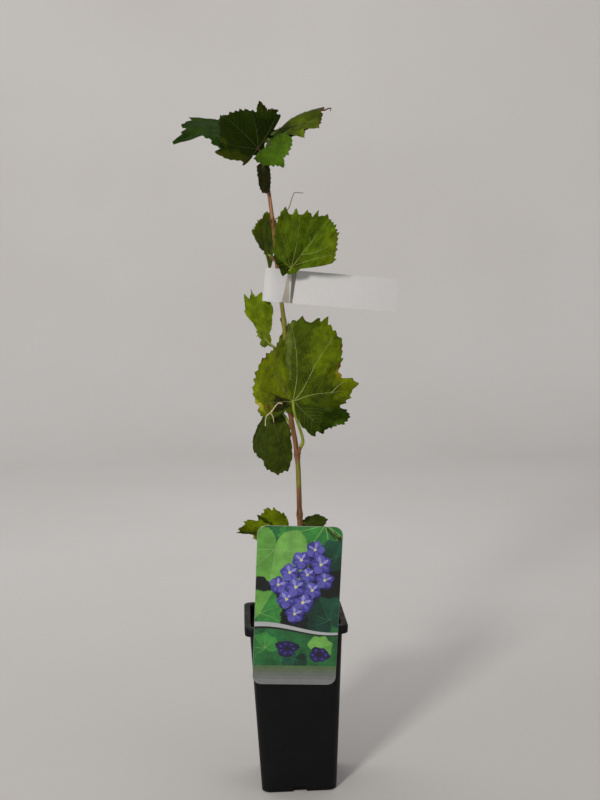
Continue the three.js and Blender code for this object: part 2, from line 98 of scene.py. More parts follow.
# Each mass has its node's name, the height, bearing, rise and length of its one spur, and its leaves.
# The outlines of the leaves that the photo shows came from a scratch program, as report.md says.
MASSES = [
    dict(name="crown_leaves", height=584, bearing=200, rise=85, length=28, leaves=[
        leaf((-32, 26, 620), (199, 8, -30), 70, "deep", fold=-4, bend=34, spread=0.62, start=0.9, rib=0.1,
            tooth=1.4, cuts=[
                (2, 8, -0.07), (-8, 4, 0.05), (-27, 5, -0.05), (-19, 4, 0.05), (-40, 5, 0.06),
                (-53, 5, -0.06), (-62, 4, 0.05), (-71, 5, -0.1), (30, 6, 0.05),
            ], outline=[
                (-176, 0.66), (-168, 0.74), (-84, 0.54), (-68, 0.91), (-20, 0.88), (4, 1.02),
                (16, 0.7), (96, 0.72), (148, 0.24), (176, 0.13),
            ]),
        # Painted shade: this leaf's dark tone and its darkest patch stand for the shade it lies in
        leaf((-24, -9, 599), (231, 31, 244), 42, "shade", fold=20, bend=30, spread=0.84, start=0.4, flip=True,
            stalk="red", rib=0.16, tooth=1.3, patches=[
                (44, 110, 0.5, 1.2, "edge"), (26, 44, 0.8, 1.2, "edge"), (-90, -40, 0.3, 0.9, "night"),
            ],
            cuts=[(54, 4, -0.08), (48, 3, 0.05), (63, 4, -0.07), (79, 4, 0.1), (94, 5, -0.4)], outline=[
                (-176, 0.12), (-100, 0.21), (-88, 0.9), (-52, 0.82), (8, 1.11), (32, 0.98),
                (56, 1.08), (72, 0.68), (88, 0.55), (100, 0.2), (176, 0.12),
            ]),
        leaf((-3, 8, 618.5), (-9, 42, 26), 50, "olive", fold=-17, bend=40, spread=0.8, start=0.8, rib=0.25,
            patches=[
                (-30, 40, 0.9, 1.2, "tan"), (-62, -30, 0.94, 1.2, "brown"), (-120, -62, 0.8, 1.2, "lit"),
            ],
            outline=[
                (-176, 0.12), (-104, 0.21), (-92, 0.87), (-76, 0.7), (-56, 0.9), (4, 0.86),
                (24, 1.12), (90, 1.12), (101, 0.5), (176, 0.12),
            ]),
        # Painted shade: the black patch on its folded part and its black stalk stand for shadow between the
        # crown's leaves
        leaf((-13, -20, 600.5), (319, -48, 58), 26, "bright", fold=16, bend=8, start=0.4, rib=0.15, tooth=1.5,
            stalk="vein_black_10", patches=[(-120, -60, 0.9, 1.2, "black")],
            outline=[
                (-176, 0.12), (-88, 0.2), (-76, 0.84), (-20, 0.89), (-4, 1.02), (8, 0.75),
                (60, 0.88), (84, 0.7), (116, 0.21), (176, 0.12),
            ]),
        # Painted shade: this hanging leaf and its stalk are near black for the crown's shadow over them
        leaf((-19.5, -5, 583), (262, -84, 0), 27, "black", fold=30, bend=4, spread=0.8, start=0.2, rib=0.08,
            stalk="vein_black_5",
            outline=[
                (-176, 0.12), (-52, 0.32), (-28, 0.49), (-4, 0.91), (16, 0.95), (44, 0.55),
                (64, 0.39), (124, 0.21), (176, 0.14),
            ]),
        leaf((-28, 28, 612), (126, 14, 0), 48, "deep", spread=0.7, start=0.7),
        leaf((-8, 28, 612), (76, 24, 0), 44, "deep", spread=0.65, start=0.7),
        leaf((-19.4, -4, 626), (262, 76, 0), 20, "young", fold=24, bend=10, spread=0.62, flip=True, outline=[
            (-176, 0.12), (-92, 0.21), (-4, 0.85), (16, 0.65), (72, 0.43), (100, 0.23),
            (176, 0.12),
        ]),
        leaf((-15.7, -3, 624.3), (350, 40, 20), 19, "young", fold=20, bend=12, spread=0.8, outline=[
            (-176, 0.14), (-132, 0.38), (-112, 1.06), (-72, 1.1), (-12, 0.74), (76, 0.85),
            (140, 0.27), (176, 0.14),
        ]),
    ]),
    dict(name="upper_front_leaves", height=490, bearing=330, rise=8, length=6, leaves=[
        leaf((4, -9, 489), (24, 49, 63), 59, "green", fold=46, bend=-8, spread=0.78, rib=0.85, tooth=1.3,
            ribs=[
                [(0, 0), (1, 0.3), (-2, 0.5), (0, 0.8), (-3, 0.97)],
                [(1, 0.28), (-38, 0.48), (-46, 0.65), (-45, 0.9)],
                [(-30, 0.1), (-62, 0.5), (-71, 0.96)], [(0, 0), (40, 0.5), (44, 0.93)],
                [(0, 0), (84, 0.5), (86, 0.95)], [(0, 0.5), (20, 0.7), (24, 0.9)],
                [(0, 0), (118, 0.4), (126, 0.85)],
            ],
            cuts=[
                (51, 4, -0.08), (44, 4, 0.04), (33, 5, -0.03), (24, 4, 0.06), (18, 3, -0.03), (13, 3, 0.04),
                (60, 4, 0.07), (68, 4, -0.03), (3, 3, -0.03),
            ],
            # Painted highlight: the pale patch along the left side stands for light catching its fold
            patches=[
                (-100, -18, 0.66, 1.2, "spring"), (98, 118, 0.3, 1.2, "pale"), (118, 180, 0, 1.2, "shady"),
                (-70, 110, 0, 0.3, "moss"), (28, 44, 0.45, 1.2, "spring"), (70, 84, 0.6, 1.2, "spring"),
            ],
            outline=[
                (-176, 0.12), (-100, 0.22), (-86, 0.84), (-60, 0.86), (0, 1.05), (44, 0.88),
                (72, 1), (108, 0.6), (152, 0.28), (176, 0.21),
            ]),
    ]),
    dict(name="upper_left_leaves", height=496, bearing=150, rise=40, length=8, leaves=[
        leaf((-20, 10, 508), (246, 54, -78), 38, "lit", fold=9, bend=17, spread=0.78, rib=0.2, tooth=1.4,
            outline=[
                (-176, 0.72), (-120, 1.13), (-92, 1.14), (-84, 1.12), (-60, 0.79), (-4, 0.63),
                (24, 0.78), (40, 1.05), (88, 0.22), (176, 0.12),
            ]),
    ]),
    dict(name="upper_back_leaves", height=516, bearing=60, rise=30, length=10, leaves=[
        leaf((12, 24, 524), (40, 8, 0), 40, "green", spread=0.65),
    ]),
    dict(name="middle_left_leaves", height=402, bearing=125, rise=40, length=9, leaves=[
        leaf((-20, 32, 423), (160, 46, -135), 52, "lit", fold=-14, bend=24, spread=0.62, rib=0.25, tooth=1.7,
            cuts=[
                (-21, 3, -0.14), (-28, 3, 0.06), (-40, 4, -0.08), (-54, 4, 0.08),
                (-66, 3, 0.07), (-74, 4, -0.06),
            ],
            outline=[
                (-176, 0.12), (-140, 0.25), (-104, 0.8), (-80, 0.9), (-24, 0.88), (-8, 0.64),
                (4, 0.28), (80, 0.26), (136, 0.5), (176, 0.2),
            ]),
    ]),
    dict(name="middle_front_leaves", height=313, bearing=315, rise=60, length=12, leaves=[
        leaf((2.8, -14, 366), (147, 83, -98), 77, "moss", fold=-15, bend=21,
            rib=0.8, tooth=1.4, lead=0.08, stout=1.4,
            ribs=[
                [(0, 0), (-52, 0.15), (-43, 0.35), (-37, 0.55), (-37, 0.69), (-36, 0.93)],
                [(0, 0), (-17, 0.2), (-15, 0.35), (-5, 0.76), (-2, 0.92)],
                [(0, 0), (-78, 0.32), (-84, 0.62), (-85, 0.8)], [(-84, 0.6), (-78, 0.75), (-75, 0.93)],
                [(0, 0), (46, 0.4), (40, 0.92)], [(0, 0), (88, 0.4), (90, 0.9)],
                [(-20, 0.02), (-140, 0.3), (-138, 0.8)],
            ],
            cuts=[
                (-170, 8, 0.72), (-10, 3, -0.04), (-15, 3, 0.05), (-19, 3, -0.05), (-24, 3, -0.05),
                (-21.5, 1.5, 0.06), (-71, 3, 0.08), (-60, 3, -0.04), (-80, 6, -0.07), (-86, 2, 0.05),
                (106, 5, 0.06), (97, 3, -0.06),
            ],
            # Painted shade: the darkest patches, over the lower right lobes and low on the left beside the
            # stalk, stand for shadow on the blade
            patches=[
                (4, 125, 0, 1.2, "lime"), (-60, -18, 0.42, 1.2, "grass"), (-100, -56, 0.68, 1.2, "lime"),
                (-8, 6, 0.25, 1.2, "felt"), (-176, -104, 0, 1.2, "shady"), (66, 130, 0.05, 0.6, "gloom"),
                (32, 48, 0.95, 1.2, "brown"), (90, 110, 0.64, 0.8, "brown"), (62, 84, 0.93, 1.2, "sunny"),
                (-64, -57, 0.9, 1.2, "rust"), (-73, -64, 0.86, 1.2, "yellow"), (-50, -44, 0.97, 1.2, "brown"),
                (58, 84, 0.76, 1.2, "sunny"), (83, 100, 0.84, 1.2, "hay"), (97, 118, 0.62, 1.2, "olive"),
            ],
            outline=[
                (-176, 0.23), (-168, 0.55), (-116, 0.43), (-84, 0.86), (-64, 0.73), (-44, 0.98),
                (-24, 1.07), (8, 0.93), (20, 0.76), (40, 0.86), (108, 0.73), (120, 0.2),
                (176, 0.12),
            ]),
    ]),
    dict(name="middle_back_leaves", height=384, bearing=85, rise=30, length=10, leaves=[
        leaf((12, 32, 391), (86, 5, 0), 50, "green", spread=0.65),
    ]),
    dict(name="middle_right_leaves", height=350, bearing=15, rise=25, length=8, leaves=[
        leaf((22, 12, 353), (-14, 18, 28), 40, "fern", fold=-18, bend=40, spread=0.9, rib=0.15, tooth=1.5,
            outline=[
                (-176, 0.12), (-120, 0.21), (-84, 0.76), (-48, 0.8), (-16, 0.98), (0, 0.8),
                (12, 0.4), (92, 0.47), (108, 0.2), (176, 0.12),
            ]),
    ]),
    dict(name="lower_left_leaves", height=338, bearing=110, rise=30, length=9, leaves=[
        leaf((-17, 42, 352), (206, -71, -12), 56, "dark", fold=-12, bend=20, spread=0.8, rib=0.2, outline=[
            (-176, 0.12), (-68, 0.2), (-52, 0.44), (-36, 0.88), (-4, 0.87), (24, 1.14),
            (40, 1.12), (60, 0.82), (120, 0.22), (176, 0.12),
        ]),
    ]),
    dict(name="base_left_leaves", height=226, bearing=185, rise=30, length=8, leaves=[
        leaf((-10, 8, 241), (163, -7, -61), 45, "sunny", fold=56, bend=-8, spread=0.85, rib=0.3, tooth=1.5,
            cuts=[
                (-42, 6, 0.22), (-86, 4, -0.07), (-96, 3, 0.08), (-105, 4, -0.05), (-72, 4, 0.06),
                (-28, 4, -0.05), (-17, 3, 0.06), (-121, 4, 0.06),
            ],
            patches=[
                (-64, -46, 0.3, 1.2, "shady"), (-46, -30, 0.95, 1.2, "dark"), (-14, 20, 0.5, 1.2, "dark"),
                (-150, -114, 0.3, 1.2, "grass"),
            ], outline=[
                (-176, 0.18), (-128, 0.49), (-84, 0.64), (-60, 0.61), (0, 0.97), (12, 0.67),
                (24, 0.64), (80, 0.8), (108, 1.03), (144, 0.36), (176, 0.18),
            ]),
    ]),
    dict(name="base_right_leaves", height=218, bearing=40, rise=40, length=8, leaves=[
        leaf((12, 10, 246), (9, 10, 22), 26, "dark", fold=6, bend=12, tooth=1.5, outline=[
            (-176, 0.12), (-116, 0.21), (-100, 0.47), (-64, 0.74), (-36, 0.73), (0, 0.88),
            (36, 0.75), (72, 0.2), (176, 0.12),
        ]),
        leaf((8, 26, 232), (88, 4, 0), 42, "green", spread=0.7),
    ]),
]


# Materials


def srgb(red, green, blue):
    """A colour given as 0 to 255 per channel, as Blender's linear colour."""
    channels = [c / 255 for c in (red, green, blue)]
    linear = [c / 12.92 if c <= 0.04045 else ((c + 0.055) / 1.055) ** 2.4 for c in channels]
    return (*linear, 1.0)


class Shader:
    """A principled material with its nodes, built step by step."""

    def __init__(self, name, **fixed):
        self.material = bpy.data.materials.new(name)
        self.material.use_nodes = True
        self.nodes = self.material.node_tree.nodes
        self.links = self.material.node_tree.links
        self.main = self.nodes["Principled BSDF"]
        for socket, value in fixed.items():
            self.main.inputs[socket.replace("_", " ")].default_value = value
        self.place = self.nodes.new("ShaderNodeTexCoord").outputs["Object"]

    def stretched(self, scale):
        """The object's own coordinates, scaled along each axis."""
        mapping = self.nodes.new("ShaderNodeMapping")
        mapping.inputs["Scale"].default_value = scale
        self.links.new(self.place, mapping.inputs["Vector"])
        return mapping.outputs["Vector"]

    def noise(self, scale, detail=4.0, rough=0.5, stretch=None):
        """Clouds of a scale per metre."""
        node = self.nodes.new("ShaderNodeTexNoise")
        node.inputs["Scale"].default_value = scale
        node.inputs["Detail"].default_value = detail
        node.inputs["Roughness"].default_value = rough
        self.links.new(self.stretched(stretch) if stretch else self.place, node.inputs["Vector"])
        return node.outputs["Fac"]

    def cells(self, scale):
        """The distance to the edges of a net of cells."""
        node = self.nodes.new("ShaderNodeTexVoronoi")
        node.feature = "DISTANCE_TO_EDGE"
        node.inputs["Scale"].default_value = scale
        self.links.new(self.place, node.inputs["Vector"])
        return node.outputs["Distance"]

    def ramp(self, source, stops):
        """A colour by value, from stops of value and colour."""
        node = self.nodes.new("ShaderNodeValToRGB")
        elements = node.color_ramp.elements
        for _ in stops[2:]:
            elements.new(0.5)
        for element, (position, colour) in zip(elements, stops):
            element.position = position
            element.color = colour
        self.links.new(source, node.inputs["Fac"])
        return node.outputs["Color"]

    def spread(self, source, low, high):
        """The main range of a noise, spread from low to high."""
        node = self.nodes.new("ShaderNodeMapRange")
        for socket, value in (("From Min", 0.3), ("From Max", 0.7), ("To Min", low), ("To Max", high)):
            node.inputs[socket].default_value = value
        self.links.new(source, node.inputs["Value"])
        return node.outputs["Result"]

    def colour(self, source):
        self.links.new(source, self.main.inputs["Base Color"])

    def rough(self, source):
        self.links.new(source, self.main.inputs["Roughness"])

    def bump(self, source, height, strength):
        """Relief of this height in millimetres, on top of any relief set before."""
        node = self.nodes.new("ShaderNodeBump")
        node.inputs["Strength"].default_value = strength
        node.inputs["Distance"].default_value = height * MM
        self.links.new(source, node.inputs["Height"])
        normal = self.main.inputs["Normal"]
        if normal.is_linked:
            self.links.new(normal.links[0].from_socket, node.inputs["Normal"])
        self.links.new(node.outputs["Normal"], normal)


def shade(colour, factor):
    """The colour again, darker or brighter by a factor."""
    return (*(min(1.0, c * factor) for c in colour[:3]), 1.0)


def leaf_material(name, colour, gloss=0.64, mottling=0.28):
    """A leaf face: mottling in broad and small clouds, a fine net of cells and an uneven sheen."""
    shader = Shader(name, Roughness=gloss, Specular_IOR_Level=0.045)
    clouds = shader.nodes.new("ShaderNodeMix")
    clouds.data_type = "FLOAT"
    clouds.inputs["Factor"].default_value = 0.5
    shader.links.new(shader.noise(46, 4, 0.6), clouds.inputs["A"])
    shader.links.new(shader.noise(170, 5, 0.65), clouds.inputs["B"])
    dark, bright = shade(colour, 1 - 2 * mottling), shade(colour, 1 + 2.2 * mottling)
    shader.colour(shader.ramp(clouds.outputs["Result"], [(0.36, dark), (0.5, colour), (0.64, bright)]))
    shader.rough(shader.spread(shader.noise(260, 3), gloss - 0.07, gloss + 0.1))
    shader.bump(shader.cells(620), 0.12, 0.4)
    shader.bump(shader.noise(300, 3), 0.3, 0.4)
    return shader.material


def streaked_material(name, colour, dark, gloss, relief=0.22):
    """A cane or petiole: colour and relief drawn out along its length."""
    shader = Shader(name, Roughness=gloss, Specular_IOR_Level=0.35)
    streaks = shader.noise(1.0, 4, 0.6, stretch=(900, 900, 70))
    shader.colour(shader.ramp(streaks, [(0.35, dark), (0.62, colour)]))
    shader.rough(shader.spread(shader.noise(400, 2), gloss - 0.08, gloss + 0.12))
    shader.bump(streaks, relief, 0.8)
    return shader.material


# Each tone's colour on the upper and the under side of a leaf
TONES = {
    "deep": ((35, 58, 8), (66, 86, 30)),
    "olive": ((72, 86, 12), (80, 94, 34)),
    "shade": ((46, 64, 12), (30, 43, 3)),
    "edge": ((70, 82, 10), (58, 68, 8)),
    "bright": ((64, 92, 18), (94, 122, 44)),
    "lit": ((98, 118, 10), (104, 124, 44)),
    "dark": ((53, 66, 12), (64, 82, 34)),
    "fern": ((62, 86, 10), (72, 92, 34)),
    # painted shade, near black, for leaves and stalks in the crown's shadow
    "black": ((36, 38, 14), (42, 46, 24)),
    "young": ((52, 62, 8), (62, 74, 12)),
    "green": ((85, 107, 17), (88, 108, 38)),
    "moss": ((60, 74, 5), (84, 98, 34)),
    "lime": ((90, 103, 3), (104, 118, 38)),
    "sunny": ((106, 122, 12), (112, 126, 44)),
    "pale": ((96, 112, 30), (118, 132, 62)),
    "yellow": ((150, 138, 30), (140, 130, 50)),
    "hay": ((158, 152, 44), (150, 144, 60)),
    "brown": ((98, 60, 26), (102, 72, 40)),
    "tan": ((128, 106, 66), (120, 98, 62)),
    # painted shade for the darkest part of a leaf in shadow
    "night": ((28, 38, 8), (22, 32, 4)),
    "grass": ((84, 101, 4), (92, 106, 34)),
    "felt": ((88, 100, 40), (100, 110, 54)),
    # painted shade for the part of a blade in deep shadow
    "gloom": ((34, 34, 8), (44, 44, 18)),
    "spring": ((84, 100, 8), (96, 112, 36)),
    "shady": ((44, 58, 6), (60, 74, 24)),
    "rust": ((92, 50, 18), (96, 64, 34)),
}
VEIN = srgb(176, 184, 110)


def blend(one, other, share):
    """A mix of two colours, with this share of the other one."""
    return tuple(a + (b - a) * share for a, b in zip(one, other))


def tone_colours(tone):
    """Upper and under colour of a tone, or of two tones mixed in quarters, named as moss.lime.2."""
    if "." not in tone:
        return [srgb(*colour) for colour in TONES[tone]]
    first, second, quarters = tone.split(".")
    pairs = zip(tone_colours(first), tone_colours(second))
    return [blend(one, other, int(quarters) / 4) for one, other in pairs]


class PlantMaterials(dict):
    """The plant's materials by name, with those of the leaves made when a leaf first asks for one."""

    def __missing__(self, kind):
        part, tone, *pale = kind.split("_")
        upper, under = tone_colours(tone)
        if part == "upper":
            self[kind] = leaf_material("leaf_" + kind, upper)
        elif part == "under":
            self[kind] = leaf_material("leaf_" + kind, under, 0.66, 0.14)
        else:
            colour = blend(upper, VEIN, int(pale[0]) / 100)
            self[kind] = streaked_material("leaf_" + kind, colour, shade(colour, 0.88), 0.55)
        return self[kind]


# Canes, stalks and tendrils: the material's name, its colour, its dark streaks, roughness and relief
STREAKED = {
    "green": ("petiole_green", (146, 160, 48), (112, 128, 36), 0.45, 0.22),
    "red": ("petiole_red", (112, 58, 38), (84, 60, 30), 0.45, 0.22),
    "bark": ("bark_brown", (136, 94, 58), (78, 50, 32), 0.75, 0.35),
    "bark_red": ("bark_reddish", (140, 98, 62), (92, 56, 34), 0.7, 0.22),
    "bark_green": ("bark_young", (134, 130, 42), (98, 92, 30), 0.55, 0.22),
    "bark_tan": ("bark_tan", (172, 126, 90), (126, 84, 56), 0.7, 0.22),
    "bud": ("bud_scales", (106, 62, 38), (64, 36, 26), 0.6, 0.22),
    "straw": ("tendril_straw", (226, 214, 176), (176, 156, 112), 0.6, 0.22),
    "tendril": ("tendril_dry", (140, 120, 84), (106, 86, 58), 0.6, 0.22),
}


def plant_materials():
    made = PlantMaterials()
    for kind, (name, colour, dark, gloss, relief) in STREAKED.items():
        made[kind] = streaked_material(name, srgb(*colour), srgb(*dark), gloss, relief)
    return made


# Mesh making


class Piece:
    """Points, faces and the material of each face, gathered for one joined mesh."""

    def __init__(self):
        self.points = []
        self.faces = []
        self.kinds = []
        self.count = 0

    def add(self, points, faces, kinds):
        """Faces are lists of point numbers, and kinds is one material's name or one for each face."""
        self.points.append(np.asarray(points, float).reshape(-1, 3))
        self.faces += [[n + self.count for n in face] for face in faces]
        self.kinds += [kinds] * len(faces) if isinstance(kinds, str) else list(kinds)
        self.count += len(self.points[-1])

    def build(self, name, materials, sharp=None):
        mesh = bpy.data.meshes.new(name)
        mesh.from_pydata((np.concatenate(self.points) * MM).tolist(), [], self.faces)
        used = sorted(set(self.kinds))
        for kind in used:
            mesh.materials.append(materials[kind])
        numbers = {kind: n for n, kind in enumerate(used)}
        mesh.polygons.foreach_set("material_index", [numbers[k] for k in self.kinds])
        mesh.shade_smooth()
        if sharp is not None:
            mesh.set_sharp_from_angle(angle=math.radians(sharp))
        mesh.validate()
        mesh.update()
        made = bpy.data.objects.new(name, mesh)
        bpy.context.scene.collection.objects.link(made)
        return made


def full_turn(count):
    """Angles at even steps round a circle."""
    return np.arange(count) * 2 * np.pi / count


def unit(rows):
    """Each row of an array at a length of 1."""
    return rows / (np.linalg.norm(rows, axis=1)[:, None] + 1e-9)


def direction(heading, pitch):
    """The direction with a heading round the plant and a pitch above the level."""
    heading, pitch = math.radians(heading), math.radians(pitch)
    level = math.cos(pitch)
    return np.array([level * math.cos(heading), level * math.sin(heading), math.sin(pitch)])


def at_level(outline, level):
    """A flat outline as points at one level."""
    return np.column_stack([outline, np.full(len(outline), level)])


def finish(made, node):
    """Puts a piece on the plant's one body and, where it takes a node's place, hides that node."""
    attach(made, "root")
    if node:
        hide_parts(node)


def grid_faces(rows, columns, start=0):
    """Quads between rings of points that are numbered from a start."""
    row, column = np.meshgrid(np.arange(rows - 1), np.arange(columns), indexing="ij")
    following = (column + 1) % columns
    corners = [row * columns + column, row * columns + following]
    corners += [(row + 1) * columns + following, (row + 1) * columns + column]
    return np.stack(corners, -1).reshape(-1, 4) + start


def loft(piece, rings, kind):
    """A closed skin over rings of equally many points. A kind that is a function gives each face its own."""
    rows, columns = len(rings), len(rings[0])
    points = np.concatenate(rings)
    faces = grid_faces(rows, columns).tolist()
    faces.append(list(range(columns))[::-1])
    faces.append([(rows - 1) * columns + n for n in range(columns)])
    if callable(kind):
        centres = points[np.array(faces[: (rows - 1) * columns])].mean(1)
        kind = kind(centres)
        kind += [kind[0]] * 2
    piece.add(points, faces, kind)


def smooth_line(knots, per_span):
    """A centripetal Catmull-Rom line through knots, as the source's curves are."""
    knots = np.asarray(knots, float)
    ends = [2 * knots[0] - knots[1], 2 * knots[-1] - knots[-2]]
    padded = np.vstack([ends[0], knots, ends[1]])
    steps = np.linspace(0, 1, per_span, endpoint=False)[:, None]
    out = []
    for p0, p1, p2, p3 in zip(padded, padded[1:], padded[2:], padded[3:]):
        d0, d1, d2 = (max(1e-4, np.linalg.norm(b - a)) ** 0.5 for a, b in ((p0, p1), (p1, p2), (p2, p3)))
        t1 = ((p1 - p0) / d0 - (p2 - p0) / (d0 + d1) + (p2 - p1) / d1) * d1
        t2 = ((p2 - p1) / d1 - (p3 - p1) / (d1 + d2) + (p3 - p2) / d2) * d1
        bent = (3 * (p2 - p1) - 2 * t1 - t2) * steps**2 + (2 * (p1 - p2) + t1 + t2) * steps**3
        out.append(p1 + t1 * steps + bent)
    return np.vstack(out + [knots[-1]])


def evenly(line, count):
    """The line again, as points at even distances along it."""
    walked = np.concatenate([[0], np.cumsum(np.linalg.norm(np.diff(line, axis=0), axis=1))])
    at = np.linspace(0, walked[-1], count)
    return np.stack([np.interp(at, walked, line[:, axis]) for axis in range(3)], 1)


def across_line(line):
    """Two directions across a line at each point, turned no more than the line itself turns."""
    tangents = unit(np.gradient(line, axis=0))
    first = np.cross(tangents[0], (0, 1, 0) if abs(tangents[0][1]) < 0.8 else (1, 0, 0))
    normals = [first / np.linalg.norm(first)]
    for tangent in tangents[1:]:
        level = normals[-1] - tangent * (normals[-1] @ tangent)
        normals.append(level / np.linalg.norm(level))
    normals = np.array(normals)
    return normals, np.cross(tangents, normals)


def tube(piece, line, radii, kind, sides, relief=0):
    """A round limb along a line. The relief adds to the radius by step and angle."""
    normals, binormals = across_line(line)
    turn = full_turn(sides)[None, :, None]
    radii = np.broadcast_to(np.reshape(radii, (-1, 1)), (len(line), sides)) + relief
    out = normals[:, None] * np.cos(turn) + binormals[:, None] * np.sin(turn)
    loft(piece, list(line[:, None] + radii[..., None] * out), kind)


# Stem

STEM_LINE = smooth_line(STEM_JOINTS, 60)
STEM_RINGS, STEM_SIDES = 460, 30
# Ridges round the bark: their number, depth, start and drift with the height
BARK_RIDGES = ((5, 0.08, 0.4, 0.02), (9, 0.09, 2.0, -0.013), (14, 0.05, 5.1, 0.03))
# The bark's colour up to each height, and how near a joint it is reddish
BARK_COLOURS = (
    (230, "bark"), (283, "bark_red"), (316, "bark_green"), (362, "bark_red"), (472, "bark_green"),
    (520, "bark_red"), (2 * STEM_TOP, "bark_tan"),
)
WOODY_TOP, GREEN_FROM, GREEN_TO, JOINT_REACH = 283, 362, 472, 4.5


def stem_at(height):
    """The stem's middle line at a height."""
    return np.array([np.interp(height, STEM_LINE[:, 2], STEM_LINE[:, axis]) for axis in range(3)])


def stem_radius(height):
    """The stem's radius: its taper, the root flare at its foot and its swollen joints."""
    taper = (height - STEM_FOOT) / (STEM_TOP - STEM_FOOT)
    flare = 1.8 * np.exp(-(height - STEM_FOOT) / 9.0)
    swelling = sum(np.exp(-(((height - joint[2]) / 4.0) ** 2)) for joint in STEM_JOINTS[1:-1])
    return 2.7 - taper + flare + 0.7 * swelling


def stem_kind(height, wobble):
    """The bark's colour at a height: woody, then green and brown by turns, and tan towards the tip."""
    level = height + wobble
    near_joint = min(abs(level - joint[2]) for joint in STEM_JOINTS[1:]) < JOINT_REACH
    if near_joint and level > WOODY_TOP and not GREEN_FROM < level < GREEN_TO:
        return "bark_red"
    return next(kind for top, kind in BARK_COLOURS if level < top)


def build_stem(materials):
    """The stem with the relief of its bark, and a bud at each joint."""
    piece = Piece()
    rng = np.random.default_rng(11)
    line = evenly(STEM_LINE, STEM_RINGS)
    heights = line[:, 2]
    turn = full_turn(STEM_SIDES)
    ridges = sum(
        depth * np.sin(count * turn[None] + phase + heights[:, None] * drift)
        for count, depth, phase, drift in BARK_RIDGES
    )
    woody = np.clip((300 - heights) / 60, 0.35, 1.3)[:, None]
    grain = rng.normal(0, 0.045, (STEM_RINGS, STEM_SIDES))
    grain = (grain + np.roll(grain, 1, 0) + np.roll(grain, 2, 0)) / 2
    wobble = rng.normal(0, 1.6, STEM_SIDES * 2)

    def kinds(centres):
        """The colour of each face, with limits that wander from side to side."""
        middles = [np.interp(centres[:, 2], heights, line[:, axis]) for axis in (0, 1)]
        sides = np.round(np.arctan2(centres[:, 1] - middles[1], centres[:, 0] - middles[0]) * 4).astype(int)
        return [stem_kind(z, wobble[side % len(wobble)]) for z, side in zip(centres[:, 2], sides)]

    tube(piece, line, stem_radius(heights), kinds, STEM_SIDES, (ridges + grain) * woody)
    for number, joint in enumerate(STEM_JOINTS[1:-1]):
        way = direction(35 + 180 * (number % 2) + rng.uniform(-20, 20), 0)
        foot = np.array(joint, float)
        bud = smooth_line([foot, foot + way * 2.2 + (0, 0, 0.8), foot + way * 3.4 + (0, 0, 3.6)], 8)
        swell = np.interp(np.linspace(0, 1, len(bud)), [0, 0.45, 0.8, 1], [1.5, 1.35, 0.8, 0.15])
        tube(piece, bud, swell, "bud", 10)
    finish(piece.build("vine_stem", materials), "stem")


# Leaves

MAIN_VEINS = (0, 42, 84, 128)
VEIN_POINTS = 20
# Widths of the veins, as shares of the leaf's length
MIDDLE_VEIN, OWN_VEIN, LOBE_VEIN, SIDE_VEIN, SIDE_VEIN_TIP = 0.0125, 0.0105, 0.0095, 0.0042, 0.0018
# Radians from the middle vein at which the fan of lobes starts to close behind the stalk
FAN_CLOSES = 2.967
# Side veins: the first and last share of the main vein at which they leave it, and the distance between them
SIDE_FROM, SIDE_TO, SIDE_GAP = 0.16, 0.92, 5.2
# Their angle, the turn at each step, the most steps, and a step as a share of the leaf's length
SIDE_ANGLE, SIDE_TURN, SIDE_STEPS, SIDE_STEP = 48, 0.9, 46, 0.02
# Four points to a tooth: how far out they are on the way up the blade, and how far uneven teeth shift them
TOOTH_PROFILE = np.array([1.0, 0.6, 0.0, 0.25])
TOOTH_SHIFTS = [1, 0.6, 0, 0.4]
# A tooth's spacing and depth in millimetres: a fixed part, and a share of the leaf's length
TOOTH_GAP, TOOTH_DEPTH = (2.0, 0.075), (0.8, 0.028)
# How high the fields beside all and beside main veins swell, and how far away, as shares of the leaf's length
VEIN_SWELL, MAIN_SWELL = (0.007, 0.03), (0.014, 0.1)
# Waves of the rim: height as a share of the leaf's length, how fast they fade inwards, and their number
RIM_WAVES = ((0.014, 5, 13), (0.008, 8, 29))
# How far a patch's edge wanders in degrees and in shares of the reach, and the share that counts as a degree
WANDER_ANGLE, WANDER_SHARE, SHARE_PER_DEGREE = 1.8, 0.018, 0.011
# Rings of a blade that is longer than this
BLADE_RINGS = ((48, 36), (24, 25), (0, 14))
BLADE_THICK = 0.56
# A stalk's swellings: at which end, by how much and over what share
STALK_SWELLINGS = ((0, 0.35, 0.08), (1, 0.2, 0.06))


def blade_reach(theta, leaf=None):
    """How far a blade reaches at an angle from its middle vein, as in the source."""
    degrees = np.degrees(theta)
    if leaf and leaf["outline"]:
        return np.interp(degrees, *np.array(leaf["outline"]).T)
    return np.interp(np.abs(degrees), *BLADE_REACH.T)


def fan(leaf, theta):
    """The angle on the blade, the fan of lobes narrowed by spread and closed behind the stalk."""
    closing = np.clip((np.abs(theta) - FAN_CLOSES) / (np.pi - FAN_CLOSES), 0, 1)
    return theta * (leaf["spread"] + (1 - leaf["spread"]) * closing)


def axes_of(leaf):
    """The directions along a leaf's middle vein, across it and out of its face."""
    heading, pitch, roll = leaf["facing"]
    vein, level = direction(heading, pitch), direction(heading + 90, 0)
    side = level * math.cos(math.radians(roll)) + np.cross(vein, level) * math.sin(math.radians(roll))
    return vein, side, np.cross(vein, side)


def blade_place(leaf, along, across, lift):
    """A point of the folded and bent blade from its flat place and its lift off the middle surface."""
    vein, side, face = axes_of(leaf)
    size, fold = leaf["size"], math.radians(leaf["fold"])
    turn = math.radians(leaf["bend"]) / size
    soft = 0.05 * size
    lift = lift + (np.hypot(across, soft) - soft) * math.sin(fold)
    forward = np.sin(turn * along) / turn + lift * np.sin(turn * along)
    upward = lift * np.cos(turn * along) - (1 - np.cos(turn * along)) / turn
    place = np.array(leaf["place"], float) + forward[..., None] * vein
    return place + (across * math.cos(fold))[..., None] * side + upward[..., None] * face


